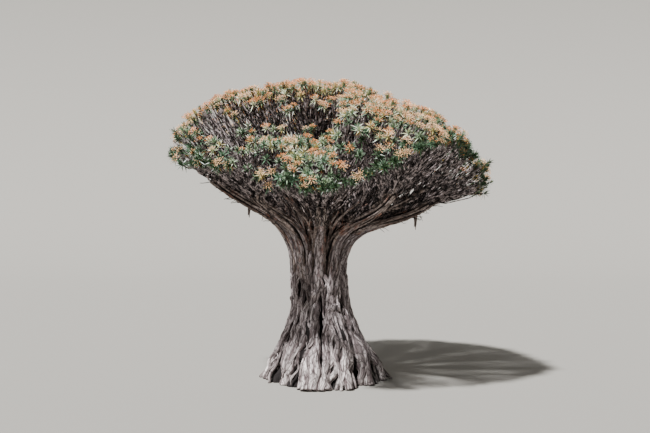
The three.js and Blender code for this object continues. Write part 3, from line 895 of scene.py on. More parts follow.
    def thread(self, number: int) -> tuple[Points, Points]:
        """Lays one thin aerial root that creeps down over the strands.

        Args:
            number: which one it is.

        Returns:
            Its line, and its radius at each point.
        """
        length = mix(*self.thread_lengths, jitter(number, 1) + 0.5)
        low = (7.4 - length) * (jitter(number, 2) + 0.5) ** 1.4
        height = np.linspace(low, low + length, int(length / self.thread_step))
        key = noise_path(height * 0.8, number * 1.9)
        azimuth = number * 2 * math.pi * GOLDEN_SHARE + self.twist * height / self.fork
        azimuth = azimuth + 0.14 * value_noise(key, 51) + 0.07 * value_noise(key * 2.6, 52)
        azimuth = self.parted(azimuth, height, np.full_like(height, self.thread_radius))
        radius, below = self.outline(azimuth, height)
        radius = radius + 0.6 * np.minimum(below, 0.2) + 0.05 * value_noise(key * 2 + 3, 53)
        share = np.linspace(0, 1, len(height))
        ends = band(share, (0, 0.12), (0.88, 1))
        sizes, swelling = self.thread_spreads
        thick = self.thread_radius * (1 + sizes * jitter(number, 3)) * (0.4 + 0.6 * ends)
        line = polar(azimuth, radius + 0.02 - 0.16 * (1 - ends), height)
        line[:, 0] += self.middle(height)
        return line, thick * (1 + swelling * value_noise(key * 5, 54))

    def leg(self, number: int) -> tuple[Points, Points]:
        """Lays one broad, smooth leg of the root flare.

        Args:
            number: which one it is.

        Returns:
            Its line, and its radius at each point.
        """
        foot, head, low, high, size = self.legs[number]
        share = np.linspace(0, 1, int((high - low) / self.thread_step))
        height = mix(low, high, share)
        key = noise_path(height * 0.6, number * 3.1)
        azimuth = np.radians(mix(foot, head, share)) + 0.05 * value_noise(key, 61)
        radius, _ = self.outline(azimuth, height)
        ends = band(share, (0, 0.3), (0.75, 1))
        thick = size * (0.35 + 0.65 * ends) * (1 + 0.12 * value_noise(key * 3, 62))
        line = polar(azimuth, radius + 0.1 - thick - 0.25 * (1 - ends), height)
        line[:, 0] += self.middle(height)
        return line, thick

    def knot(self, azimuth: float, height: float, size: float, seed: int) -> Skin:
        """Makes a burr: a lumpy, closed ball, half sunk in the trunk.

        Args:
            azimuth: in degrees.
            height: of its middle.
            size: its radius.
            seed: picks its lumps.

        Returns:
            Its skin.
        """
        turn = math.radians(azimuth)
        radius, _ = self.outline(np.array([turn]), np.array([height]))
        middle = polar(turn, radius[0] + size * 0.1, height) + (self.middle(height), 0, 0)
        share = np.linspace(-0.5, 0.5, 15)
        line = middle + UP[None] * (share * size * self.knot_length)[:, None]
        thick = size * np.sqrt(np.clip(1 - (share * 2) ** 2, 0.002, 1))
        points, grain, hollow, faces = self.knot_tube.skin(line, thick, seed)
        # The burr's grooves get a weaker painted shade
        return points, grain, hollow * self.knot_painted_shade, faces

    def build(self, masses: Sequence[Mass]) -> bpy.types.Object:
        """Makes the trunk: its core, strands, legs, threads and burrs.

        Args:
            masses: the crown's masses, whose boughs the strands follow.

        Returns:
            The piece.
        """
        skins = Skins()
        skins.add(self.core())
        rim = [mass for mass in masses if mass.plan.ring is Ring.RIM]
        for number in range(self.strands):
            skins.add(self.strand_tube.skin(*self.strand(number, rim), 140 + number))
        for number in range(len(self.legs)):
            skins.add(self.leg_tube.skin(*self.leg(number), 320 + number))
        for number in range(self.threads):
            skins.add(self.thread_tube.skin(*self.thread(number), 220 + number))
        for number, (azimuth, height, size) in enumerate(self.knots):
            skins.add(self.knot(azimuth, height, size, 300 + number))
        for points in skins.points:
            points[:, 2] = np.maximum(points[:, 2], 0)
        return skins.build("trunk_bark_mesh")


@dataclass
class Boughs:
    """The bare boughs, from the trunk's head to the masses of the crown."""

    rise: float = math.radians(9)
    handles: tuple[float, float] = (0.49, 0.46)
    canopy_inset: float = 0.57
    slope_span: float = 0.4
    plan_step: float = 0.02
    spacing: float = 0.1
    root_inset: float = 0.25
    root_depth: float = 1.2
    root_rings: int = 10
    companions: int = 4
    companion_spread: dict[Ring, float] = field(
        default_factory=lambda: {Ring.RIM: 0.6, Ring.MID: 1.0, Ring.TOP: 1.3})
    companion_radius: float = 0.12
    companion_taper: float = 0.35
    companion_fan: float = 0.62  # radians between companions, all of them over their bough
    companion_sway: float = 0.16
    companion_tube: Tube = Tube(sides=9, strands=3, relief=0.34, knots=0.14)
    tube: Tube = Tube(sides=36, strands=10, relief=0.5, knots=0.12)
    hanging: tuple[tuple[str, float, float], ...] = (("rim_3", 0.9, 1.0), ("rim_9", 0.72, 0.82))
    hanging_strands: int = 9
    hanging_spread: float = 0.1
    hanging_radii: tuple[float, float] = (0.04, 0.012)
    hanging_tube: Tube = Tube(sides=7, strands=3, relief=0.1, knots=0.2)

    def lay(self, mass: Mass, masses: Sequence[Mass], crown: Canopy, trunk: Trunk) -> None:
        """Lays the middle line of a mass's bough, as the part's source does.

        Args:
            mass: the mass.
            masses: all of them.
            crown: the crown.
            trunk: the trunk.
        """
        plan, azimuth = mass.plan, mass.azimuth
        end = plan.plan
        while (end > self.plan_step
               and depth_inside(mass, masses, polar(azimuth, end, 0.0)) > plan.entry):
            end -= self.plan_step
        under = crown.underside_at(azimuth, end)
        climb = math.asin(end / float(crown.reach_at(azimuth)))
        over = crown.surface(azimuth, climb, self.canopy_inset)[0][2]
        tip = polar(azimuth, end, mix(under, over, plan.climb) + plan.radii[1])
        foot = polar(azimuth, plan.foot, plan.start)
        foot[0] += trunk.middle(plan.start)
        ahead = crown.underside_at(azimuth, end + self.slope_span)
        behind = crown.underside_at(azimuth, end - self.slope_span)
        rise = math.atan2(ahead - behind, 2 * self.slope_span) + self.rise
        if plan.rise is not None:
            rise = math.radians(plan.rise)
        lean = math.radians(90 - plan.lean)
        length = np.linalg.norm(tip - foot)
        corners = (
            foot, foot + polar(azimuth, math.cos(lean), math.sin(lean)) * length * self.handles[0],
            tip - polar(azimuth, math.cos(rise), math.sin(rise)) * length * self.handles[1], tip,
        )
        steps = int(length * 1.1 / self.spacing)
        mass.line = bezier(corners, np.linspace(0, 1, steps))

    def build(self, masses: Sequence[Mass]) -> bpy.types.Object:
        """Makes all boughs with the bundles of aerial roots that hang from two of them.

        Args:
            masses: the crown's masses.

        Returns:
            The piece.
        """
        skins = Skins()
        for seed, mass in enumerate(masses):
            thick = mix(*mass.plan.radii, np.linspace(0, 1, len(mass.line)))
            inwards = polar(mass.azimuth, -self.root_inset, -self.root_depth)
            root = mass.line[0] + inwards * np.linspace(1, 0.1, self.root_rings)[:, None]
            taper = thick[0] * np.linspace(0.2, 0.95, self.root_rings)
            skins.add(self.tube.skin(np.concatenate([root, mass.line]),
                                     np.concatenate([taper, thick]), 60 + seed))
            for number in range(self.companions):
                skins.add(self.companion(mass, 4 * seed + number))
            for name, along, length in self.hanging:
                if name == mass.name:
                    for skin in self.hanging_bundle(mass.line, along, length):
                        skins.add(skin)
        return skins.build("bough_bark_mesh")

    def companion(self, mass: Mass, number: int) -> Skin:
        """Gives the skin of a thinner limb that leaves the fork beside a bough and rises with it.

        Args:
            mass: the mass whose bough it goes with.
            number: which companion it is.

        Returns:
            Its skin.
        """
        line = mass.line[:int(len(mass.line) * (0.8 + 0.3 * jitter(number, 2)))]
        share = np.linspace(0, 1, len(line))
        turn = number * 2 * math.pi * GOLDEN_SHARE + 1.6 * share
        if mass.plan.ring is Ring.RIM:
            place = number % self.companions - (self.companions - 1) / 2
            turn = math.pi + self.companion_fan * place + 0.2 * share
        away = mass.plan.radii[0] * 1.1 + self.companion_spread[mass.plan.ring] * share
        sway = value_noise(noise_path(share * 3, number * 2.3), 91)
        away = away + self.companion_sway * sway * np.sin(share * math.pi)
        taper = mix(1, self.companion_taper, share)
        thick = self.companion_radius * (1 + 0.5 * jitter(number, 3)) * taper
        return self.companion_tube.skin(line_round(line, turn, away), thick, 400 + number)

    def hanging_bundle(self, line: Points, along: float, length: float) -> list[Skin]:
        """Makes the aerial roots that hang from a bough.

        Args:
            line: the bough's middle line.
            along: where they hang, as a share of the line.
            length: how far the longest reaches below the line.

        Returns:
            The skin of each root.
        """
        start = line[int(along * (len(line) - 1))]
        skins = []
        for root in range(self.hanging_strands):
            share = np.linspace(0, 1, 12)
            turn = root * 2 * math.pi * GOLDEN_SHARE
            spread = self.hanging_spread * math.sqrt((root + 0.5) / self.hanging_strands)
            sway = 0.02 * np.sin(share * 7 + root)
            reach = length * (1 - 0.5 * (root / self.hanging_strands) ** 1.5)
            path = start + np.stack([math.cos(turn) * spread * (1 - 0.5 * share) + sway,
                                     math.sin(turn) * spread * (1 - 0.5 * share) - sway,
                                     -reach * share], 1)
            thick = mix(*self.hanging_radii, share ** 2)
            skins.append(self.hanging_tube.skin(path, thick, 90 + root))
        return skins


def depth_inside(mass: Mass, masses: Sequence[Mass], point: Points) -> float:
    """Gives how far a point lies inside a mass's space, walled halfway between the middles.

    Args:
        mass: the mass.
        masses: all of them.
        point: the point.

    Returns:
        The depth, below 0 outside.
    """
    depth = math.inf
    for other in masses:
        if other is not mass:
            across = other.middle - mass.middle
            halfway = (other.middle + mass.middle) / 2
            gone = (point - halfway) * (1, 1, 0)
            depth = min(depth, -float(np.dot(gone, across)) / float(np.linalg.norm(across)))
    return depth


# Twigs


@dataclass
class Limbs:
    """Limbs as lines with a radius at each point, to be skinned together."""

    lines: list[Points] = field(default_factory=list)
    radii: list[Points] = field(default_factory=list)

    def add(self, line: Points, radii: Points) -> None:
        """Adds one limb."""
        self.lines.append(line)
        self.radii.append(radii)

    def wires(self, name: str) -> bpy.types.Object:
        """Makes an object of bare edges along the limbs, with their radii stored on its points.

        Args:
            name: the object's name.

        Returns:
            The object.
        """
        edges, first = [], 0
        for line in self.lines:
            edges.extend((k, k + 1) for k in range(first, first + len(line) - 1))
            first += len(line)
        mesh = bpy.data.meshes.new(name)
        mesh.from_pydata(np.concatenate(self.lines).tolist(), edges, [])
        store(mesh, RADIUS_NAME, "FLOAT", np.concatenate(self.radii))
        return link_object(name, mesh)


@dataclass(frozen=True)
class Shoots:
    """Dead shoots along a limb: how far apart they leave it, how long and thick they are."""

    spacing: float
    lengths: tuple[float, float]
    radius: float
    spread: float
    rise: float = 0.2  # how far they turn up, or down where it is negative
    margin: float = 0.45  # how far above the crown's underside they have to end
    bend: float = 0.25
    kink: float = 0.02
    thickness: tuple[float, float] = (0.75, 1.15)
    point: float = 0.5  # their radius at the end, of that at the foot
    steps: int = 6


@dataclass
class Twigs:
    """Twigs that grow from the boughs by the source's rule: run, fork in two or three, repeat."""

    tip_count: int = 1760
    climb_steps: int = 90  # in which the canopy's area is summed from top to rim
    inset: float = 0.4
    rim_inset: float = 0.13
    depth_spread: tuple[float, float] = (0.25, 0.6)  # on top and at the rim
    steep_climbs: tuple[float, float] = (math.radians(42), math.radians(85))
    scatter: float = 0.42
    scatter_width: float = 1.6
    clump: int = 12
    clump_sink: float = 0.5
    clump_pull: tuple[float, float] = (0.18, 0.28)
    clump_top: float = 0.6  # by how much less the clumps on top are sunk
    tip_radius: float = 0.034
    pipe_power: float = 0.4
    thick_from: int = 5
    leaving: tuple[float, float] = (0.05, 0.92)
    leaving_step: float = 0.04
    side_radius: float = 0.85  # of its bough's radius where a limb leaves it
    end_radius: float = 0.97  # the same at the bough's end
    sunk: tuple[float, float] = (0.15, 0.12)  # how far inside the bough both start
    side_limbs: dict[Ring, int] = field(
        default_factory=lambda: {Ring.RIM: 26, Ring.MID: 15, Ring.TOP: 6})
    shares: tuple[float, float] = (0.24, 0.38)
    heading_share: float = 0.45
    leave_share: float = 0.4  # the same at a limb's very foot
    handle: float = 0.36  # how far a limb keeps the headings of its ends, of its length
    shortest: float = 2.2  # of its radius, before it forks
    main_radius: float = 1.15  # at a fork, of the radius of its thickest branch
    fork_sunk: float = 0.4  # how far inside the fork its branches start, of its radius
    tip_taper: float = 0.9
    fork_steps: tuple[float, int] = (0.35, 12)  # metres to a step, and the most steps
    tip_steps: tuple[float, int] = (0.6, 9)
    outward: float = 0.5
    upward: float = 0.35
    sway: float = 0.11
    widest_sway: float = 0.2
    collar: float = 1.22  # a limb's foot and end are this much thicker, where it joins on
    shoulder: float = 1.12
    open_azimuth: float = math.radians(221)
    open_span: tuple[float, float] = (0.66, 0.95)
    open_climbs: tuple[float, float] = (math.radians(30), math.radians(46))
    open_rim: tuple[float, float] = (math.radians(60), math.radians(82))
    open_rim_closing: float = 0.75
    open_share: float = 0.74
    hollow_span: float = 1.3
    hollow_edge: tuple[float, float] = (-0.08, 0.4)
    hollow_front: tuple[float, float] = (0.15, 0.65)
    hollow_back: float = 0.35  # how deep the hollows are behind, of those in front
    hollow_depth: float = 0.95
    hollow_bare: float = 0.6
    side_bare: float = 0.3
    side_opening: tuple[float, float] = (math.radians(42), math.radians(56))
    side_closing: tuple[float, float] = (math.radians(60), math.radians(74))
    twig_shoots: Shoots = Shoots(1.2, (0.5, 1.3), 0.03, 0.4)
    limb_shoots: Shoots = Shoots(0.5, (0.5, 1.3), 0.03, 0.4)
    bough_shoots: Shoots = Shoots(0.3, (0.9, 2.3), 0.045, 0.8)
    fringe: Shoots = Shoots(0.09, (0.5, 1.1), 0.026, 0.5, -0.14, -0.55)
    sag: float = 0.06
    sag_limit: float = 0.12
    kink_span: float = 0.5
    kink_size: float = 0.15
    tips: Points = field(init=False)
    normals: Points = field(init=False)  # which way the canopy faces at each tip
    axes: Points = field(init=False)  # which way each tip points
    bare: Points = field(init=False)  # whether a tip has no leaves
    thick: Limbs = field(default_factory=Limbs)
    forked: Limbs = field(default_factory=Limbs)
    thin: Limbs = field(default_factory=Limbs)
    dead: Limbs = field(default_factory=Limbs)
    grown: int = 0
    crown: Canopy = field(default_factory=Canopy)

    def place_tips(self, crown: Canopy) -> None:
        """Spreads the tips over the canopy by the golden angle, each a little off its place.

        Args:
            crown: the crown.
        """
        self.crown = crown
        steps = self.climb_steps
        climbs = (np.arange(1, steps + 1) - 0.5) / steps * crown.tuck_limits[1]
        slope = np.hypot(crown.reach * np.cos(climbs), crown.steep_weight * np.sin(climbs))
        area = np.concatenate([[0], np.cumsum(np.sin(climbs) * slope)])
        index = np.arange(self.tip_count)
        chance = np.random.default_rng(SEED)
        spacing = math.sqrt(1 / self.tip_count)
        azimuth = index * 2 * math.pi * (1 - GOLDEN_SHARE)
        limit = mix(*crown.tuck_limits, (1 + np.cos(azimuth)) / 2)
        wanted = (index + 0.5) / self.tip_count * area[-1]
        climb = np.interp(wanted, area, np.arange(steps + 1) / steps) * limit
        shift = chance.uniform(-1, 1, (2, self.tip_count)) * self.scatter * spacing
        shift = shift * self.scatter_width
        climb = np.clip(climb + shift[0], 0.02, limit)
        azimuth = azimuth + shift[1] / np.maximum(np.sin(climb), 0.15)
        steep = ramp(climb, *self.steep_climbs)
        depth = mix(self.inset, self.rim_inset, steep)
        deeper = mix(*self.depth_spread, steep)
        depth = depth + chance.uniform(0, 1, self.tip_count) ** 2 * deeper
        open_side = ramp(np.cos(azimuth - self.open_azimuth), *self.open_span)
        open_side = open_side * ramp(climb, *self.open_climbs)
        open_side = open_side * (1 - self.open_rim_closing * ramp(climb, *self.open_rim))
        self.bare = chance.uniform(0, 1, self.tip_count) < self.open_share * open_side
        place, facing = crown.surface(azimuth, climb, depth)
        hidden = ramp(value_noise(place / self.hollow_span, 81), *self.hollow_edge)
        towards = (facing * polar(self.open_azimuth, 1, 0.0)).sum(axis=1)
        front = ramp(towards, *self.hollow_front)
        depth = depth + self.hollow_depth * hidden * mix(self.hollow_back, 1, front)
        self.bare |= chance.uniform(0, 1, self.tip_count) < self.hollow_bare * hidden * front
        sides = self.side_bare * band(climb, self.side_opening, self.side_closing)
        self.bare |= chance.uniform(0, 1, self.tip_count) < sides
        self.tips, self.normals = crown.surface(azimuth, climb, depth)
        self.tips = crown.settled(self.tips, self.normals)
        self.axes = self.normals.copy()

    def share_out(self, masses: Sequence[Mass]) -> None:
        """Gives each tip to the mass whose middle is nearest in plan.

        Args:
            masses: the crown's masses.
        """
        middles = np.array([mass.middle for mass in masses])
        apart = np.linalg.norm(self.tips[:, None, :2] - middles[None, :, :2], axis=2)
        owners = apart.argmin(axis=1)
        for number, mass in enumerate(masses):
            mass.tips = [int(k) for k in np.flatnonzero(owners == number)]

    def divide(self, tips: Sequence[int]) -> list[list[int]]:
        """Shares tips out among the two or three of them that lie furthest apart."""
        return self.gather(tips, 3 if len(tips) > 2 else 2)

    def cushion(self, tips: Sequence[int]) -> None:
        """Draws the tips of one limb together into a low cushion, sunk at its edge.

        Args:
            tips: the tips' numbers.
        """
        places = self.tips[list(tips)]
        middle = places.mean(axis=0)
        away = np.linalg.norm(places - middle, axis=1)
        share = away / max(float(away.max()), 0.01)
        facing = self.normals[list(tips)]
        pull = mix(*self.clump_pull, ramp(facing[:, 2], 0.9, 0.5))
        places = places + (middle - places) * pull[:, None]
        sink = self.clump_sink * (1 - self.clump_top * ramp(facing[:, 2], 0.6, 0.9))
        places = places - facing * (sink * share ** 2)[:, None]
        self.tips[list(tips)] = places

    def limb(self, start: Points, heading: Points, end: Points, way: Points,
             radii: tuple[float, float], steps: int, carried: int) -> None:
        """Adds a limb that leaves in one direction and arrives in another, with a slight sway.

        Args:
            start: where it leaves, inside its parent.
            heading: the direction in which it leaves.
            end: where it arrives.
            way: the direction in which it arrives.
            radii: its radius at its start and at its end.
            steps: how many pieces it is drawn in.
            carried: how many tips it carries.
        """
        length = float(np.linalg.norm(end - start))
        corners = (start, start + heading * length * self.handle,
                   end - way * length * self.handle, end)
        share = np.linspace(0, 1, steps + 1)
        line = bezier(corners, share)
        self.grown += 1
        side = unit(np.cross(way, UP + 0.3 * heading))
        over = np.cross(unit(end - start), side)
        bend = np.sin(share * math.pi)[:, None] * min(length * self.sway, self.widest_sway)
        line = line + bend * (side * 2 * jitter(self.grown, 8) + over * 2 * jitter(self.grown, 9))
        kink = noise_path(share * length / self.kink_span, self.grown * 1.7)
        ends = np.sin(share * math.pi) ** 0.5 * self.kink_size
        line = line + side * (ends * value_noise(kink, 71))[:, None]
        line = line + over * (ends * value_noise(kink, 72))[:, None]
        line[:, 2] = np.maximum(line[:, 2], mix(start[2], end[2], share) - self.sag_limit)
        thick = mix(*radii, share)
        thick[0] *= self.collar
        thick[-1] *= self.shoulder
        stout = carried >= self.thick_from
        limbs = self.thick if stout else self.forked if carried > 1 else self.thin
        limbs.add(line, thick)
        if carried > 1:
            self.shoot(line, self.limb_shoots if stout else self.twig_shoots)

    def shoot(self, line: Points, kind: Shoots) -> None:
        """Adds the dead shoots of a limb: short bare twigs that leave it to all sides.

        Args:
            line: the limb's line.
            kind: which shoots it bears.
        """
        length = float(np.linalg.norm(np.diff(line, axis=0), axis=1).sum())
        count = int(length / kind.spacing + 0.5 + jitter(self.grown, 11))
        chance = np.random.default_rng(SEED + self.grown)
        for _ in range(count):
            at = int(chance.integers(0, len(line) - 1))
            start, heading = line[at], unit(line[at + 1] - line[at])
            way = unit(heading + chance.normal(0, kind.spread, 3) + kind.rise * UP)
            if kind.rise > 0:
                way[2] = abs(way[2])
            reach = mix(*kind.lengths, chance.uniform())
            share = np.linspace(0, 1, kind.steps)
            bent = unit(way + chance.normal(0, kind.bend, 3) + 1.5 * kind.rise * UP)
            path = bezier((start, start + way * reach * 0.4, start + (way + bent) * reach * 0.4,
                           start + (way + bent) * reach * 0.5), share)
            path[1:-1] += chance.normal(0, kind.kink, (kind.steps - 2, 3))
            x, y, z = path[-1]
            if z < self.crown.underside_at(math.atan2(y, x), math.hypot(x, y)) + kind.margin:
                continue
            thick = kind.radius * chance.uniform(*kind.thickness) * mix(1, kind.point, share)
            self.dead.add(path, thick)

    def grow(self, start: Points, heading: Points, tips: list[int], parent: float,
             clumped: bool = False) -> None:
        """Grows a limb to its fork and on from there to its tips.

        Args:
            start: where it leaves its parent.
            heading: its parent's direction there.
            tips: the tips that it carries.
            parent: its parent's radius.
            clumped: whether its tips are drawn into their cushion already.
        """
        if not clumped and len(tips) <= self.clump:
            self.cushion(tips)
            clumped = True
        radius = min(parent, self.tip_radius * len(tips) ** self.pipe_power)
        towards = self.tips[tips].mean(axis=0) - start
        distance = float(np.linalg.norm(towards))
        leave = unit(mix(unit(towards), heading, self.leave_share))
        if len(tips) == 1:
            [tip] = tips
            axis = unit(unit(towards) + self.outward * self.normals[tip] + self.upward * UP)
            self.axes[tip] = axis
            step, most = self.tip_steps
            self.limb(start, leave, self.tips[tip], axis, (radius, radius * self.tip_taper),
                      min(3 + int(distance / step), most), 1)
            return
        along = unit(mix(unit(towards), heading, self.heading_share))
        share = mix(*self.shares, 0.5 + jitter(self.grown, 2))
        fork = start + along * max(distance * share, radius * self.shortest)
        groups = self.divide(tips)
        mains = max(len(group) for group in groups)
        far = min(radius, self.tip_radius * mains ** self.pipe_power * self.main_radius)
        step, most = self.fork_steps
        self.limb(start, leave, fork, along, (radius, far),
                  min(3 + int(distance * share / step), most), len(tips))
        for group in groups:
            self.grow(fork - along * far * self.fork_sunk, along, group, far, clumped)

    def gather(self, tips: Sequence[int], count: int) -> list[list[int]]:
        """Shares tips out among a number of them that lie far apart.

        Args:
            tips: the tips' numbers.
            count: how many groups to make.

        Returns:
            The groups.
        """
        places = self.tips[list(tips)]
        apart = np.linalg.norm(places[:, None] - places[None], axis=2)
        heads = [int(apart.max(axis=1).argmax())]
        while len(heads) < min(count, len(tips)):
            heads.append(int(apart[:, heads].min(axis=1).argmax()))
        nearest = apart[:, heads].argmin(axis=1)
        groups = [[tips[k] for k in np.flatnonzero(nearest == head)] for head in range(len(heads))]
        return [group for group in groups if group]

    def sags(self, line: Points, share: float, target: Points) -> bool:
        """Says whether a limb that left a bough at a share of its line would run below it.

        Args:
            line: the bough's line.
            share: where the limb would leave.
            target: where the limb's tips are.

        Returns:
            Whether it would.
        """
        start = line[int(share * (len(line) - 1))]
        rest = line[int(share * (len(line) - 1)) + 1:]
        far = max(float(np.linalg.norm((target - start)[:2])), 0.01)
        along = np.linalg.norm((rest - start)[:, :2], axis=1) / far
        chord = mix(start[2], target[2], along)
        return bool(np.any((along < 1) & (rest[:, 2] - chord > self.sag)))

    def build(self, masses: Sequence[Mass]) -> None:
        """Grows the twigs of every mass, from the end of its bough and from places along it.

        Args:
            masses: the crown's masses.
        """
        for mass in masses:
            end = mass.line[-1]
            self.shoot(mass.line[len(mass.line) // 5:], self.bough_shoots)
            if mass.plan.ring is Ring.RIM:
                self.shoot(mass.line[len(mass.line) // 3:], self.fringe)
            groups = self.gather(mass.tips, self.side_limbs[mass.plan.ring])
            groups.sort(key=lambda group: -np.linalg.norm(self.tips[group].mean(axis=0) - end))
            early, late = self.leaving
            for rank, group in enumerate(groups[:-1]):
                share = mix(early, late, rank / max(len(groups) - 2, 1))
                while share < late and self.sags(mass.line, share, self.tips[group].mean(axis=0)):
                    share += self.leaving_step
                at = int(share * (len(mass.line) - 1))
                heading = unit(mass.line[at + 1] - mass.line[at - 1])
                radius = self.side_radius * mix(*mass.plan.radii, share)
                self.grow(mass.line[at] - heading * self.sunk[0], heading, group, radius)
            heading = unit(mass.line[-1] - mass.line[-3])
            self.grow(end - heading * self.sunk[1], heading, groups[-1],
                      mass.plan.radii[1] * self.end_radius)


# Trees of geometry nodes


def node_modifier(thing: bpy.types.Object, tree: bpy.types.NodeTree,
                  values: dict[str, Any]) -> bpy.types.Object:
    """Runs a node tree on an object and turns what it gives into a plain mesh.

    Args:
        thing: the object that carries the tree's points or edges.
        tree: the node tree.
        values: the tree's inputs by name.

    Returns:
        The same object, with the new mesh and no modifier.
    """
    modifier = thing.modifiers.new(tree.name, "NODES")
    modifier.node_group = tree
    for item in tree.interface.items_tree:
        if item.item_type == "SOCKET" and item.in_out == "INPUT" and item.name in values:
            modifier[item.identifier] = values[item.name]
    graph = bpy.context.evaluated_depsgraph_get()
    mesh = bpy.data.meshes.new_from_object(thing.evaluated_get(graph), depsgraph=graph)
    thing.modifiers.clear()
    old, thing.data = thing.data, mesh
    name = old.name
    bpy.data.meshes.remove(old)
    mesh.name = name
    return thing


def new_tree(name: str, sockets: Sequence[tuple[str, str]]) -> bpy.types.NodeTree:
    """Starts a tree of geometry nodes with the named inputs and a geometry output.

    Args:
        name: the tree's name.
        sockets: each input's label and kind.

    Returns:
        The tree.
    """
    tree = bpy.data.node_groups.new(name, "GeometryNodeTree")
    tree.interface.new_socket("Geometry", in_out="INPUT", socket_type="NodeSocketGeometry")
    for label, kind in sockets:
        tree.interface.new_socket(label, in_out="INPUT", socket_type=kind)
    tree.interface.new_socket("Geometry", in_out="OUTPUT", socket_type="NodeSocketGeometry")
    return tree


def limb_tree() -> bpy.types.NodeTree:
    """Makes the tree that skins bare edges as round limbs.

    Returns:
        The tree.
    """
    tree = new_tree("skin_of_limbs", [("Sides", "NodeSocketInt"), ("Bark", "NodeSocketMaterial")])
    given = add_node(tree, "NodeGroupInput")
    radius = add_node(tree, "GeometryNodeInputNamedAttribute", {"Name": RADIUS_NAME},
                      data_type="FLOAT")
    curves = add_node(tree, "GeometryNodeMeshToCurve", {"Mesh": given.outputs["Geometry"]})
    sized = add_node(tree, "GeometryNodeSetCurveRadius", {
        "Curve": curves.outputs["Curve"], "Radius": radius.outputs["Attribute"]})
    profile = add_node(tree, "GeometryNodeCurvePrimitiveCircle", {
        "Resolution": given.outputs["Sides"], "Radius": 1.0})
    skin = add_node(tree, "GeometryNodeCurveToMesh", {
        "Curve": sized.outputs["Curve"], "Profile Curve": profile.outputs["Curve"],
        "Fill Caps": True})
    if "Scale" in skin.inputs:
        tree.links.new(radius.outputs["Attribute"], skin.inputs["Scale"])
    smooth = add_node(tree, "GeometryNodeSetShadeSmooth", {"Geometry": skin.outputs["Mesh"]})
    real = add_node(tree, "GeometryNodeRealizeInstances", {"Geometry": smooth.outputs[0]})
    dressed = add_node(tree, "GeometryNodeSetMaterial", {
        "Geometry": real.outputs[0], "Material": given.outputs["Bark"]})
    add_node(tree, "NodeGroupOutput", {"Geometry": dressed.outputs[0]})
    return tree


def scatter_tree() -> bpy.types.NodeTree:
    """Makes the tree that stands a copy of one spray on each point, turned to its heading.

    Returns:
        The tree.
    """
    tree = new_tree("sprays_on_tips", [
        ("Spray", "NodeSocketObject"), ("Smallest", "NodeSocketFloat"),
        ("Largest", "NodeSocketFloat"), ("Seed", "NodeSocketInt"), ("Finish", "NodeSocketMaterial"),
    ])
    given = add_node(tree, "NodeGroupInput")
    spray = add_node(tree, "GeometryNodeObjectInfo", {"Object": given.outputs["Spray"]})
    heading = add_node(tree, "GeometryNodeInputNamedAttribute", {"Name": HEADING_NAME},
                       data_type="FLOAT_VECTOR")
    aligned = add_node(tree, "FunctionNodeAlignRotationToVector",
                       {"Vector": heading.outputs["Attribute"]}, axis="Z")
    spin = add_node(tree, "FunctionNodeRandomValue", {
        2: 0.0, 3: 2 * math.pi, "Seed": given.outputs["Seed"]}, data_type="FLOAT")
    turn = add_node(tree, "FunctionNodeAxisAngleToRotation", {
        "Axis": (0.0, 0.0, 1.0), "Angle": spin.outputs[1]})
    turned = add_node(tree, "FunctionNodeRotateRotation", {
        "Rotation": aligned.outputs[0], "Rotate By": turn.outputs[0]}, rotation_space="LOCAL")
    size = add_node(tree, "FunctionNodeRandomValue", {
        2: given.outputs["Smallest"], 3: given.outputs["Largest"],
        "Seed": given.outputs["Seed"]}, data_type="FLOAT")
    copies = add_node(tree, "GeometryNodeInstanceOnPoints", {
        "Points": given.outputs["Geometry"], "Instance": spray.outputs["Geometry"],
        "Rotation": turned.outputs[0], "Scale": size.outputs[1]})
    real = add_node(tree, "GeometryNodeRealizeInstances", {"Geometry": copies.outputs[0]})
    dressed = add_node(tree, "GeometryNodeSetMaterial", {
        "Geometry": real.outputs[0], "Material": given.outputs["Finish"]})
    add_node(tree, "NodeGroupOutput", {"Geometry": dressed.outputs[0]})
    return tree


# Leaves and fruit


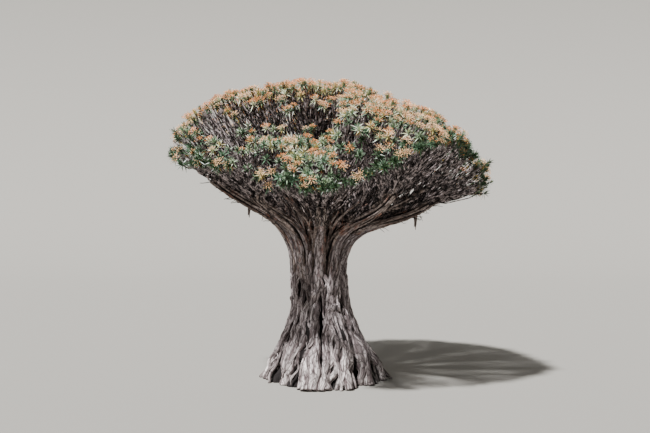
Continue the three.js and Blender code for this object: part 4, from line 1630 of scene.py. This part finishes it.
@dataclass(frozen=True)
class Rosette:
    """A spray of sword leaves round a tip: the oldest low and outermost, the youngest upright."""

    leaves: int = 19
    length: float = 0.41
    width: float = 0.062
    neck: float = 0.1
    rises: tuple[float, float] = (-30.0, 84.0)
    droop: float = 0.12
    channel: float = 0.3  # how deep a blade is folded, of half its width
    youngest: float = 0.72  # how long the youngest leaf is, of the oldest
    belly: float = 0.4  # where a blade is widest, of its length
    foot: float = 0.7  # how wide it is at its foot, of its widest
    lengths: tuple[float, float] = (0.84, 1.1)
    widths: tuple[float, float] = (0.85, 1.15)

    def build(self, name: str, seed: int) -> bpy.types.Object:
        """Makes one rosette, its axis along +Z: a channelled blade of six triangles for each leaf.

        Args:
            name: the object's name.
            seed: for its irregularities.

        Returns:
            The spray.
        """
        chance = np.random.default_rng(seed)
        index = np.arange(self.leaves)
        age = 1 - (index + 0.5) / self.leaves
        azimuth = index * 2 * math.pi * GOLDEN_SHARE + chance.normal(0, 0.12, self.leaves)
        rise = np.radians(mix(self.rises[1], self.rises[0], age ** 1.15)
                          + chance.normal(0, 5, self.leaves))
        length = self.length * mix(self.youngest, 1, age)
        length = length * chance.uniform(*self.lengths, self.leaves)
        out = polar(azimuth, 1, 0.0)
        side = polar(azimuth + math.pi / 2 + chance.normal(0, 0.15, self.leaves), 1, 0.0)
        way = out * np.cos(rise)[:, None] + UP * np.sin(rise)[:, None]
        side = unit(side - way * (side * way).sum(axis=1)[:, None])
        upper = np.cross(way, side)
        base = out * 0.02 + UP * (self.neck * (1 - age))[:, None]
        middle = base + way * (length * self.belly)[:, None]
        tip = base + way * length[:, None] - UP * (length * self.droop * age)[:, None]
        half = self.width / 2 * chance.uniform(*self.widths, self.leaves)[:, None]
        raised = upper * half * self.channel
        points = np.stack([
            base - side * half * self.foot + raised, base, base + side * half * self.foot + raised,
            middle - side * half + raised, middle, middle + side * half + raised, tip,
        ], axis=1).reshape(-1, 3)
        faces = [[7 * k + corner for corner in face] for k in range(self.leaves)
                 for face in ((0, 3, 4, 1), (1, 4, 5, 2), (3, 6, 4), (4, 6, 5))]
        return mesh_object(name, points, [face[::-1] for face in faces], smooth=False)


@dataclass(frozen=True)
class Panicle:
    """A spray of fruit over a rosette: a stalk with branchlets, and berries along each of them."""

    height: float = 0.33
    start: float = 0.12
    branchlets: int = 15
    berries: int = 2
    top_berries: int = 4
    spread: float = 0.33
    scatter: float = 0.022
    top_scatter: float = 0.03
    stalk: float = 0.014
    stem: float = 0.011
    berry: float = 0.021
    berry_half: float = 1.5  # half a cluster's length, of its radius

    def spindle(self, near: Points, far: Points, thick: float, widest: float) -> Points:
        """Gives the five points of a three-sided spindle between two points.

        Args:
            near: one of its points.
            far: the other one.
            thick: its largest radius.
            widest: where that is, from 0 to 1.

        Returns:
            Its five points.
        """
        along = unit(far - near)
        side = unit(np.cross(along, (0.31, 0.27, 0.91)))
        over = np.cross(along, side)
        belt = mix(near, far, widest)
        round_it = [belt + thick * (math.cos(a) * side + math.sin(a) * over)
                    for a in (0, 2 * math.pi / 3, 4 * math.pi / 3)]
        return np.array([near, *round_it, far])

    def cluster(self, place: Points, scatter: float, chance: np.random.Generator) -> Points:
        """Gives the points of one small cluster of berries.

        Args:
            place: where it belongs.
            scatter: how far it may stray from there.
            chance: the draw.

        Returns:
            Its five points.
        """
        at = place + chance.normal(0, scatter, 3)
        way = unit(chance.normal(0, 1, 3) + (0, 0, 1.2)) * self.berry * self.berry_half
        return self.spindle(at - way, at + way, self.berry, 0.5)

    def build(self, name: str, seed: int) -> bpy.types.Object:
        """Makes one panicle, its axis along +Z.

        Args:
            name: the object's name.
            seed: for its irregularities.

        Returns:
            The spray.
        """
        chance = np.random.default_rng(seed)
        parts = [self.spindle(np.zeros(3), UP * self.height, self.stalk, 0.4)]
        for k in range(self.branchlets):
            share = (k + 0.5) / self.branchlets
            foot = UP * mix(self.start, self.height * 0.93, share)
            azimuth = k * 2 * math.pi * GOLDEN_SHARE + chance.normal(0, 0.2)
            reach = self.spread * mix(1, 0.45, share ** 1.5) * chance.uniform(0.8, 1.1)
            end = foot + polar(azimuth, reach, reach * chance.uniform(0.05, 0.5))
            parts.append(self.spindle(foot, end, self.stem, 0.6))
            for n in range(self.berries):
                at = mix(foot, end, (n + 1.3) / (self.berries + 0.4))
                parts.append(self.cluster(at, self.scatter, chance))
        for _ in range(self.top_berries):
            parts.append(self.cluster(UP * self.height, self.top_scatter, chance))
        faces = [[5 * k + corner for corner in face] for k in range(len(parts))
                 for n in range(3)
                 for face in ((0, 1 + (n + 1) % 3, 1 + n), (4, 1 + n, 1 + (n + 1) % 3))]
        return mesh_object(name, np.concatenate(parts), faces, smooth=False)


# Finishes


def new_material(name: str) -> tuple[bpy.types.Material, bpy.types.Node]:
    """Makes a material and gives it with its shader.

    Args:
        name: the finish.

    Returns:
        The material and its shader.
    """
    material = bpy.data.materials.new(name)
    material.use_nodes = True
    return material, material.node_tree.nodes["Principled BSDF"]


@dataclass(frozen=True)
class Bark:
    """Weathered fibrous bark: pale crests, dark cracks and painted shade in the furrows, redder
    where the air has not bleached it.

    The sizes of its patterns are in millimetres. The fibres of the real bark are some 5 mm wide and
    its plates some 30 mm long. Both would be far under a pixel of the render, so they are drawn
    coarse enough to show.
    """

    name: str
    crest: str
    ground: str
    # the colour of the cracks, and of the painted shade in the hollows
    furrow: str
    red: str
    foot: str
    foot_heights: tuple[float, float] = (0.2, 3.0)
    red_heights: tuple[float, float] = (5.0, 9.0)
    red_share: float = 0.75
    roughness: float = 0.88
    specular: float = 0.25
    fibre_mm: float = 62
    fibre_cells: float = 1.6  # cells of the noise that one fibre takes
    bump_mm: float = 55
    bump_strength: float = 0.9
    patch_mm: float = 769.23  # the patches in which the outer bark has come off
    tone_mm: float = 588.24  # the stretches that have weathered more or less
    strip_mm: float = 181.82  # the strips that have peeled
    plate_mm: float = 150
    plate_shortening: float = 2.6
    crack_width: float = 0.12
    crack_dark: float = 0.75
    # painted shade: from which level of the stored shade the bark darkens, and how far
    painted_shade_levels: tuple[float, float] = (0.08, 0.52)
    painted_shade_dark: float = 0.96

    def material(self) -> bpy.types.Material:
        """Makes the material: fibres along the limb's grain, with painted shade in its hollows.

        Returns:
            The material.
        """
        material, shader = new_material(self.name)
        tree = material.node_tree
        grain = add_node(tree, "ShaderNodeAttribute", attribute_name=GRAIN_NAME)
        hollow = add_node(tree, "ShaderNodeAttribute", attribute_name=PAINTED_SHADE_NAME)
        place = add_node(tree, "ShaderNodeTexCoord")
        fibres = add_node(tree, "ShaderNodeTexNoise", {
            "Vector": grain.outputs["Vector"], "Scale": 1000 / self.fibre_mm / self.fibre_cells,
            "Detail": 5.0, "Roughness": 0.6, "Distortion": 0.35})
        patches = add_node(tree, "ShaderNodeTexNoise", {
            "Vector": place.outputs["Object"], "Scale": 1000 / self.patch_mm, "Detail": 3.0,
            "Roughness": 0.6})
        height = add_node(tree, "ShaderNodeSeparateXYZ", {"Vector": place.outputs["Object"]})
        foot = add_node(tree, "ShaderNodeMapRange", {
            "Value": height.outputs["Z"], "From Min": self.foot_heights[1],
            "From Max": self.foot_heights[0]}, interpolation_type="SMOOTHSTEP")
        reddish = add_node(tree, "ShaderNodeMapRange", {
            "Value": height.outputs["Z"], "From Min": self.red_heights[0],
            "From Max": self.red_heights[1], "To Max": self.red_share},
            interpolation_type="SMOOTHSTEP")
        bleached = add_node(tree, "ShaderNodeMix", {
            "Factor": foot.outputs[0], 6: linear(self.crest), 7: linear(self.foot)},
            data_type="RGBA")
        streak = add_node(tree, "ShaderNodeMapRange", {
            "Value": fibres.outputs["Fac"], "From Min": 0.42, "From Max": 0.6})
        tone = add_node(tree, "ShaderNodeTexNoise", {
            "Vector": grain.outputs["Vector"], "Scale": 1000 / self.tone_mm, "Detail": 1.0})
        weathered = add_node(tree, "ShaderNodeMapRange", {
            "Value": tone.outputs["Fac"], "From Min": 0.38, "From Max": 0.6, "To Min": 0.3})
        pale = add_node(tree, "ShaderNodeMath", {
            0: streak.outputs[0], 1: weathered.outputs[0]}, operation="MULTIPLY")
        lit = add_node(tree, "ShaderNodeMix", {
            "Factor": pale.outputs[0], 6: linear(self.ground), 7: bleached.outputs[2]},
            data_type="RGBA")
        blotch = add_node(tree, "ShaderNodeMapRange", {
            "Value": patches.outputs["Fac"], "From Min": 0.46, "From Max": 0.66})
        peeled = add_node(tree, "ShaderNodeTexNoise", {
            "Vector": grain.outputs["Vector"], "Scale": 1000 / self.strip_mm, "Detail": 2.0})
        strip = add_node(tree, "ShaderNodeMapRange", {
            "Value": peeled.outputs["Fac"], "From Min": 0.5, "From Max": 0.62})
        bare = add_node(tree, "ShaderNodeMath", {0: blotch.outputs[0], 1: strip.outputs[0]},
                        operation="MULTIPLY")
        amount = add_node(tree, "ShaderNodeMath", {0: bare.outputs[0], 1: reddish.outputs[0]},
                          operation="MULTIPLY")
        plates = add_node(tree, "ShaderNodeMapping", {
            "Vector": grain.outputs["Vector"], "Scale": (1.0, 1.0, self.plate_shortening)})
        crazed = add_node(tree, "ShaderNodeTexVoronoi", {
            "Vector": plates.outputs[0], "Scale": 1000 / self.plate_mm}, feature="DISTANCE_TO_EDGE")
        crack = add_node(tree, "ShaderNodeMapRange", {
            "Value": crazed.outputs["Distance"], "From Min": self.crack_width, "From Max": 0.0,
            "To Max": self.crack_dark})
        # Painted shade: darkens the bark towards the furrow colour where the stored shade is deep
        deep = add_node(tree, "ShaderNodeMapRange", {
            "Value": hollow.outputs["Fac"], "From Min": self.painted_shade_levels[0],
            "From Max": self.painted_shade_levels[1], "To Max": self.painted_shade_dark})
        layer = lit
        for share, colour in ((amount, self.red), (crack, self.furrow), (deep, self.furrow)):
            layer = add_node(tree, "ShaderNodeMix", {
                "Factor": share.outputs[0], 6: layer.outputs[2], 7: linear(colour)},
                data_type="RGBA")
        relief = add_node(tree, "ShaderNodeBump", {
            "Height": fibres.outputs["Fac"], "Strength": self.bump_strength,
            "Distance": self.bump_mm / 1000})
        tree.links.new(layer.outputs[2], shader.inputs["Base Color"])
        tree.links.new(relief.outputs["Normal"], shader.inputs["Normal"])
        shader.inputs["Roughness"].default_value = self.roughness
        shader.inputs["Specular IOR Level"].default_value = self.specular
        return material


@dataclass(frozen=True)
class TwigBark:
    """Smooth ash-grey bark of young limbs, ringed by old leaf scars, with darker patches that are
    partly browner bark and partly painted shade.

    The sizes of its patterns are in millimetres. Real scars are some 4 mm apart and are drawn
    coarser than that, so that they break the light at this distance.
    """

    name: str
    pale: str
    brown_and_shade: str
    roughness: float = 0.7
    specular: float = 0.35
    patch_mm: float = 260
    patch_levels: tuple[float, float] = (0.45, 0.61)
    scar_mm: float = 22
    scar_strength: float = 0.6
    scar_depth_mm: float = 10

    def material(self) -> bpy.types.Material:
        """Makes the material: pale patches, darker patches of browner bark and painted shade, and
        scars as a fine bump.

        Returns:
            The material.
        """
        material, shader = new_material(self.name)
        tree = material.node_tree
        place = add_node(tree, "ShaderNodeTexCoord")
        patches = add_node(tree, "ShaderNodeTexNoise", {
            "Vector": place.outputs["Object"], "Scale": 1000 / self.patch_mm, "Detail": 3.0,
            "Roughness": 0.65})
        share = add_node(tree, "ShaderNodeMapRange", {
            "Value": patches.outputs["Fac"], "From Min": self.patch_levels[0],
            "From Max": self.patch_levels[1]})
        # Partly painted shade: the darker colour fills the patches where the noise is low
        colour = add_node(tree, "ShaderNodeMix", {
            "Factor": share.outputs[0], 6: linear(self.brown_and_shade), 7: linear(self.pale)},
            data_type="RGBA")
        scars = add_node(tree, "ShaderNodeTexNoise", {
            "Vector": place.outputs["Object"], "Scale": 1000 / self.scar_mm, "Detail": 2.0})
        relief = add_node(tree, "ShaderNodeBump", {
            "Height": scars.outputs["Fac"], "Strength": self.scar_strength,
            "Distance": self.scar_depth_mm / 1000})
        tree.links.new(colour.outputs[2], shader.inputs["Base Color"])
        tree.links.new(relief.outputs["Normal"], shader.inputs["Normal"])
        shader.inputs["Roughness"].default_value = self.roughness
        shader.inputs["Specular IOR Level"].default_value = self.specular
        return material


@dataclass(frozen=True)
class Blade:
    """A leaf's waxy skin in one plain colour, dealt out by spray: the palest leaf colours are
    painted highlights.
    """

    name: str
    colour: str
    share: float
    roughness: float = 0.36
    specular: float = 0.6

    def material(self) -> bpy.types.Material:
        """Makes the material.

        Returns:
            The material.
        """
        material, shader = new_material(self.name)
        shader.inputs["Base Color"].default_value = linear(self.colour)
        shader.inputs["Roughness"].default_value = self.roughness
        shader.inputs["Specular IOR Level"].default_value = self.specular
        return material


# Old bark of fused cords: silvery, bleached crests over near-black cracks and painted shade in the
# furrows, brighter at the foot
TRUNK_BARK = Bark("old_corded_bark", "#d9cdcd", "#605454", "#0f0a0a", "#b06c52", "#e4dad6")
# Bark of the boughs: the same fibres, browner and redder in the crown's shade
BOUGH_BARK = Bark("bough_bark", "#bcada6", "#594b45", "#0f0a0a", "#a0644c", "#f4ece8")
# Bark of limbs inside the crown: a dull, brownish grey with near-black patches, painted shade so
# that they recede
SHADED_LIMB_BARK = TwigBark("limb_bark", "#85766e", "#1a1210")
# Bark of the youngest twigs: ash-grey, with pale stretches that catch the light between near-black
# patches of painted shade
TWIG_BARK = TwigBark("ash_grey_twig_bark", "#b8a9a8", "#1b1412")
# Dead twigs: almost black, painted shade that gives the crown its depth between the living ones
SHADE_BLACK_TWIG_BARK = TwigBark("dead_twig_bark", "#332a2a", "#0f0a09")
# Leathery leaves under a thin wax bloom, in plain colours: the pale green is a painted highlight
# where the sky would glance off
BLADES = (
    Blade("blade_deep_green", "#34492f", 0.29),
    Blade("blade_blue_green", "#56745a", 0.26),
    Blade("blade_grey_green", "#7e9070", 0.21),
    Blade("blade_yellow_green", "#b0a66a", 0.14),
    Blade("blade_pale_green", "#c8ceaa", 0.10),
)
# The youngest, upright leaves: a mint green, and a near-white one that is a painted highlight
YOUNG_BLADES = (
    Blade("young_blade_mint", "#8ea585", 0.58),
    Blade("young_blade_pale", "#e2e2d2", 0.42),
)
# Withered leaves under a rosette: dry, dull straw and rust, with no bloom left
OLD_BLADES = (
    Blade("old_blade_straw", "#c2a257", 0.55, 0.6, 0.3),
    Blade("old_blade_rust", "#9a6237", 0.45, 0.6, 0.3),
)
# Ripe berries with a thin, fairly glossy skin: a soft orange haze over the crown
FRUITS = (
    Blade("fruit_salmon", "#ffcd9d", 0.55, 0.55, 0.4),
    Blade("fruit_apricot", "#f6a970", 0.45, 0.55, 0.4),
)


# The tree and its studio


@dataclass
class Foliage:
    """All sprays on the tips: living leaves, old leaves below them and panicles above."""

    twigs: Twigs
    rosette: Rosette = Rosette()
    skirt: Rosette = Rosette(leaves=8, length=0.3, width=0.04, neck=0.03, rises=(-78.0, -38.0),
                             droop=0.1, youngest=0.8)
    young: Rosette = Rosette(leaves=7, length=0.37, width=0.058, neck=0.12, rises=(0.0, 72.0),
                             droop=0.05, youngest=0.85)
    panicle: Panicle = Panicle()
    young_shares: tuple[float, float] = (0.22, 1.0)  # on the sides and on top; the pale young leaves that this puts on top are painted light
    young_facings: tuple[float, float] = (0.1, 0.9)
    painted_light_shift: float = 0.42  # painted light: how far the deal turns to paler finishes on top
    painted_light_middle: float = 0.62
    painted_shade_shift: float = 0.3  # painted shade: how far it turns to deeper greens low down
    painted_shade_heights: tuple[float, float] = (11.6, 14.4)
    old_share: float = 0.3
    fruit_shares: tuple[float, float] = (0.28, 0.88)  # low down and on top
    fruit_heights: tuple[float, float] = (12.6, 15.0)
    fruit_below: float = 0.3  # of those shares, where the crown faces down

    def deal(self, finishes: Sequence[Blade], tips: Points, stream: int) -> list[Points]:
        """Deals tips out among finishes by their shares: paler on top as painted light, and living
        leaves deeper green low down as painted shade.

        Args:
            finishes: the finishes.
            tips: the tips' numbers.
            stream: picks the draw.

        Returns:
            The tips that each finish gets.
        """
        draw = jitter(tips, stream) + 0.5
        # Painted light: paler finishes where the crown faces up
        draw = draw + self.painted_light_shift * (self.twigs.normals[tips, 2] - self.painted_light_middle)
        if finishes in (BLADES, YOUNG_BLADES):
            # Painted shade: deeper greens low down
            draw = draw - self.painted_shade_shift * (1 - ramp(self.twigs.tips[tips, 2], *self.painted_shade_heights))
        draw = np.clip(draw, 0, 1)
        bounds = np.concatenate([[0], np.cumsum([finish.share for finish in finishes])])
        bounds[-1] = 1.01  # so that a draw of 1 gets the last finish
        return [tips[(draw >= low) & (draw < high)] for low, high in itertools.pairwise(bounds)]

    def fruiting(self) -> Points:
        """Gives the tips that carry a panicle: most on top, fewer lower down.

        Returns:
            The tips' numbers.
        """
        index = np.flatnonzero(~self.twigs.bare)
        share = mix(*self.fruit_shares, ramp(self.twigs.tips[index, 2], *self.fruit_heights))
        share = share * np.where(self.twigs.normals[index, 2] < 0, self.fruit_below, 1.0)
        return index[jitter(index, 6) + 0.5 < share]

    def spray(self, name: str, tips: Points, template: bpy.types.Object, finish: Blade,
              sizes: tuple[float, float], seed: int, tree: bpy.types.NodeTree) -> bpy.types.Object:
        """Stands a copy of one spray on each of some tips.

        Args:
            name: the piece's name.
            tips: the numbers of the tips.
            template: the spray.
            finish: its colour.
            sizes: the smallest and largest size of a copy.
            seed: for the sizes and spins.
            tree: the node tree that stands sprays on tips.

        Returns:
            The piece.
        """
        mesh = bpy.data.meshes.new(name)
        mesh.from_pydata(self.twigs.tips[tips].tolist(), [], [])
        store(mesh, HEADING_NAME, "FLOAT_VECTOR", self.twigs.axes[tips])
        return node_modifier(link_object(name, mesh), tree, {
            "Spray": template, "Smallest": sizes[0], "Largest": sizes[1], "Seed": seed,
            "Finish": finish.material()})

    def build(self) -> list[bpy.types.Object]:
        """Makes every piece of foliage.

        Returns:
            The pieces.
        """
        tree = scatter_tree()
        pieces, templates = [], []
        index = np.flatnonzero(~self.twigs.bare)
        old = index[jitter(index, 3) + 0.5 < self.old_share]
        sunlit = mix(*self.young_shares,
                     ramp(self.twigs.normals[index, 2], *self.young_facings))
        young = index[jitter(index, 9) + 0.5 < sunlit]
        kinds = (
            ("leaves", self.rosette, BLADES, index, (0.8, 1.12), 1),
            ("young_leaves", self.young, YOUNG_BLADES, young, (0.85, 1.12), 2),
            ("old_leaves", self.skirt, OLD_BLADES, old, (0.8, 1.1), 4),
            ("fruit", self.panicle, FRUITS, self.fruiting(), (0.75, 1.15), 5),
        )
        for kind, template, finishes, tips, sizes, stream in kinds:
            hands = self.deal(finishes, tips, stream)
            for number, (finish, dealt) in enumerate(zip(finishes, hands)):
                one = template.build(f"one_{finish.name}", SEED + 10 * stream + number)
                templates.append(one)
                pieces.append(self.spray(f"{kind}_{number + 1}", dealt, one, finish, sizes,
                                         number + stream, tree))
        for one in templates:
            mesh = one.data
            bpy.data.objects.remove(one)
            bpy.data.meshes.remove(mesh)
        return pieces


@dataclass(frozen=True)
class Studio:
    """A plain pale floor, soft light and the camera where the photographer stood."""

    camera_place: tuple[float, float, float] = (0.17, -60.0, 11.0)
    pitch_down: float = 1.73
    focal_pixels: float = 1065.7
    image_width: int = 650
    sensor: float = 36.0
    furthest: float = 2000.0
    floor_half: float = 260.0
    floor_drop: float = 0.004  # keeps the floor's face clear of the trunk's flat cut
    floor_roughness: float = 0.95
    sweep_start: float = 60.0
    sweep_radius: float = 70.0
    floor_colour: str = "#928f89"
    sky_colour: str = "#d9dadb"
    sky_strength: float = 0.19
    sun_strength: float = 10.0
    sun_angle: float = 4.0
    sun_from: tuple[float, float, float] = (-0.4, -0.5, 0.97)

    def camera(self) -> None:
        """Sets up the camera."""
        data = bpy.data.cameras.new("camera")
        data.sensor_width = self.sensor
        data.sensor_fit = "HORIZONTAL"
        data.lens = self.focal_pixels * self.sensor / self.image_width
        data.clip_end = self.furthest
        thing = bpy.data.objects.new("camera", data)
        thing.location = self.camera_place
        thing.rotation_euler = Euler((math.radians(90 - self.pitch_down), 0, 0))
        bpy.context.scene.collection.objects.link(thing)
        bpy.context.scene.camera = thing

    def floor(self) -> None:
        """Lays the floor, which sweeps up into a wall far behind the tree."""
        half, drop = self.floor_half, -self.floor_drop
        turn = np.linspace(0, math.pi / 2, 25)
        along = [-half, *(self.sweep_start + self.sweep_radius * np.sin(turn))]
        height = [drop, *(drop + self.sweep_radius * (1 - np.cos(turn)))]
        along.append(along[-1])
        height.append(half)
        points = [(x, y, z) for y, z in zip(along, height) for x in (-half, half)]
        faces = [[2 * k, 2 * k + 1, 2 * k + 3, 2 * k + 2] for k in range(len(along) - 1)]
        thing = mesh_object("floor", np.array(points), faces)
        material, shader = new_material("pale_floor_paint")
        shader.inputs["Base Color"].default_value = linear(self.floor_colour)
        shader.inputs["Roughness"].default_value = self.floor_roughness
        thing.data.materials.append(material)

    def lights(self) -> None:
        """Hangs one wide soft key light and fills the rest from all round."""
        data = bpy.data.lights.new("key", "SUN")
        data.energy = self.sun_strength
        data.angle = math.radians(self.sun_angle)
        key = bpy.data.objects.new("key", data)
        key.rotation_euler = Vector(self.sun_from).to_track_quat("Z", "Y").to_euler()
        bpy.context.scene.collection.objects.link(key)
        world = bpy.data.worlds.new("studio")
        world.use_nodes = True
        back = world.node_tree.nodes["Background"]
        back.inputs["Color"].default_value = linear(self.sky_colour)
        back.inputs["Strength"].default_value = self.sky_strength
        bpy.context.scene.world = world


def dress(piece: bpy.types.Object, nodes: Sequence[str],
          material: bpy.types.Material | None = None) -> None:
    """Attaches a finished piece to the root, hides the nodes that it replaces and logs its
    triangles.

    Args:
        piece: the piece.
        nodes: the CAD nodes that it replaces.
        material: its material, where its nodes have not set one.
    """
    if material is not None:
        piece.data.materials.clear()
        piece.data.materials.append(material)
    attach(piece, "root")
    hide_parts(*nodes)
    triangles = sum(len(face.vertices) - 2 for face in piece.data.polygons)
    logging.info("%s: %d triangles", piece.name, triangles)


def main() -> None:
    """Builds the tree from the ground up, then the studio round it."""
    logging.basicConfig(level=logging.INFO, format="%(message)s")
    studio = Studio()
    studio.camera()
    crown, trunk, boughs, twigs = Canopy(), Trunk(), Boughs(), Twigs()
    masses = make_masses()
    mass_nodes = [f"mass_{mass.name}" for mass in masses]
    for mass in masses:
        boughs.lay(mass, masses, crown, trunk)
    dress(trunk.build(masses), ["trunk"], TRUNK_BARK.material())
    dress(boughs.build(masses), [f"bough_{mass.name}" for mass in masses],
          BOUGH_BARK.material())
    twigs.place_tips(crown)
    twigs.share_out(masses)
    twigs.build(masses)
    skin = limb_tree()
    twig_bark = TWIG_BARK.material()
    for name, limbs, sides, bark in (("limbs", twigs.thick, 9, SHADED_LIMB_BARK.material()),
                                     ("forked_twigs", twigs.forked, 6, twig_bark),
                                     ("twigs", twigs.thin, 6, twig_bark),
                                     ("dead_twigs", twigs.dead, 5, SHADE_BLACK_TWIG_BARK.material())):
        piece = node_modifier(limbs.wires(name), skin, {"Sides": sides, "Bark": bark})
        dress(piece, mass_nodes)
    for piece in Foliage(twigs).build():
        dress(piece, mass_nodes)
    studio.floor()
    studio.lights()


if __name__ == "__main__":
    main()
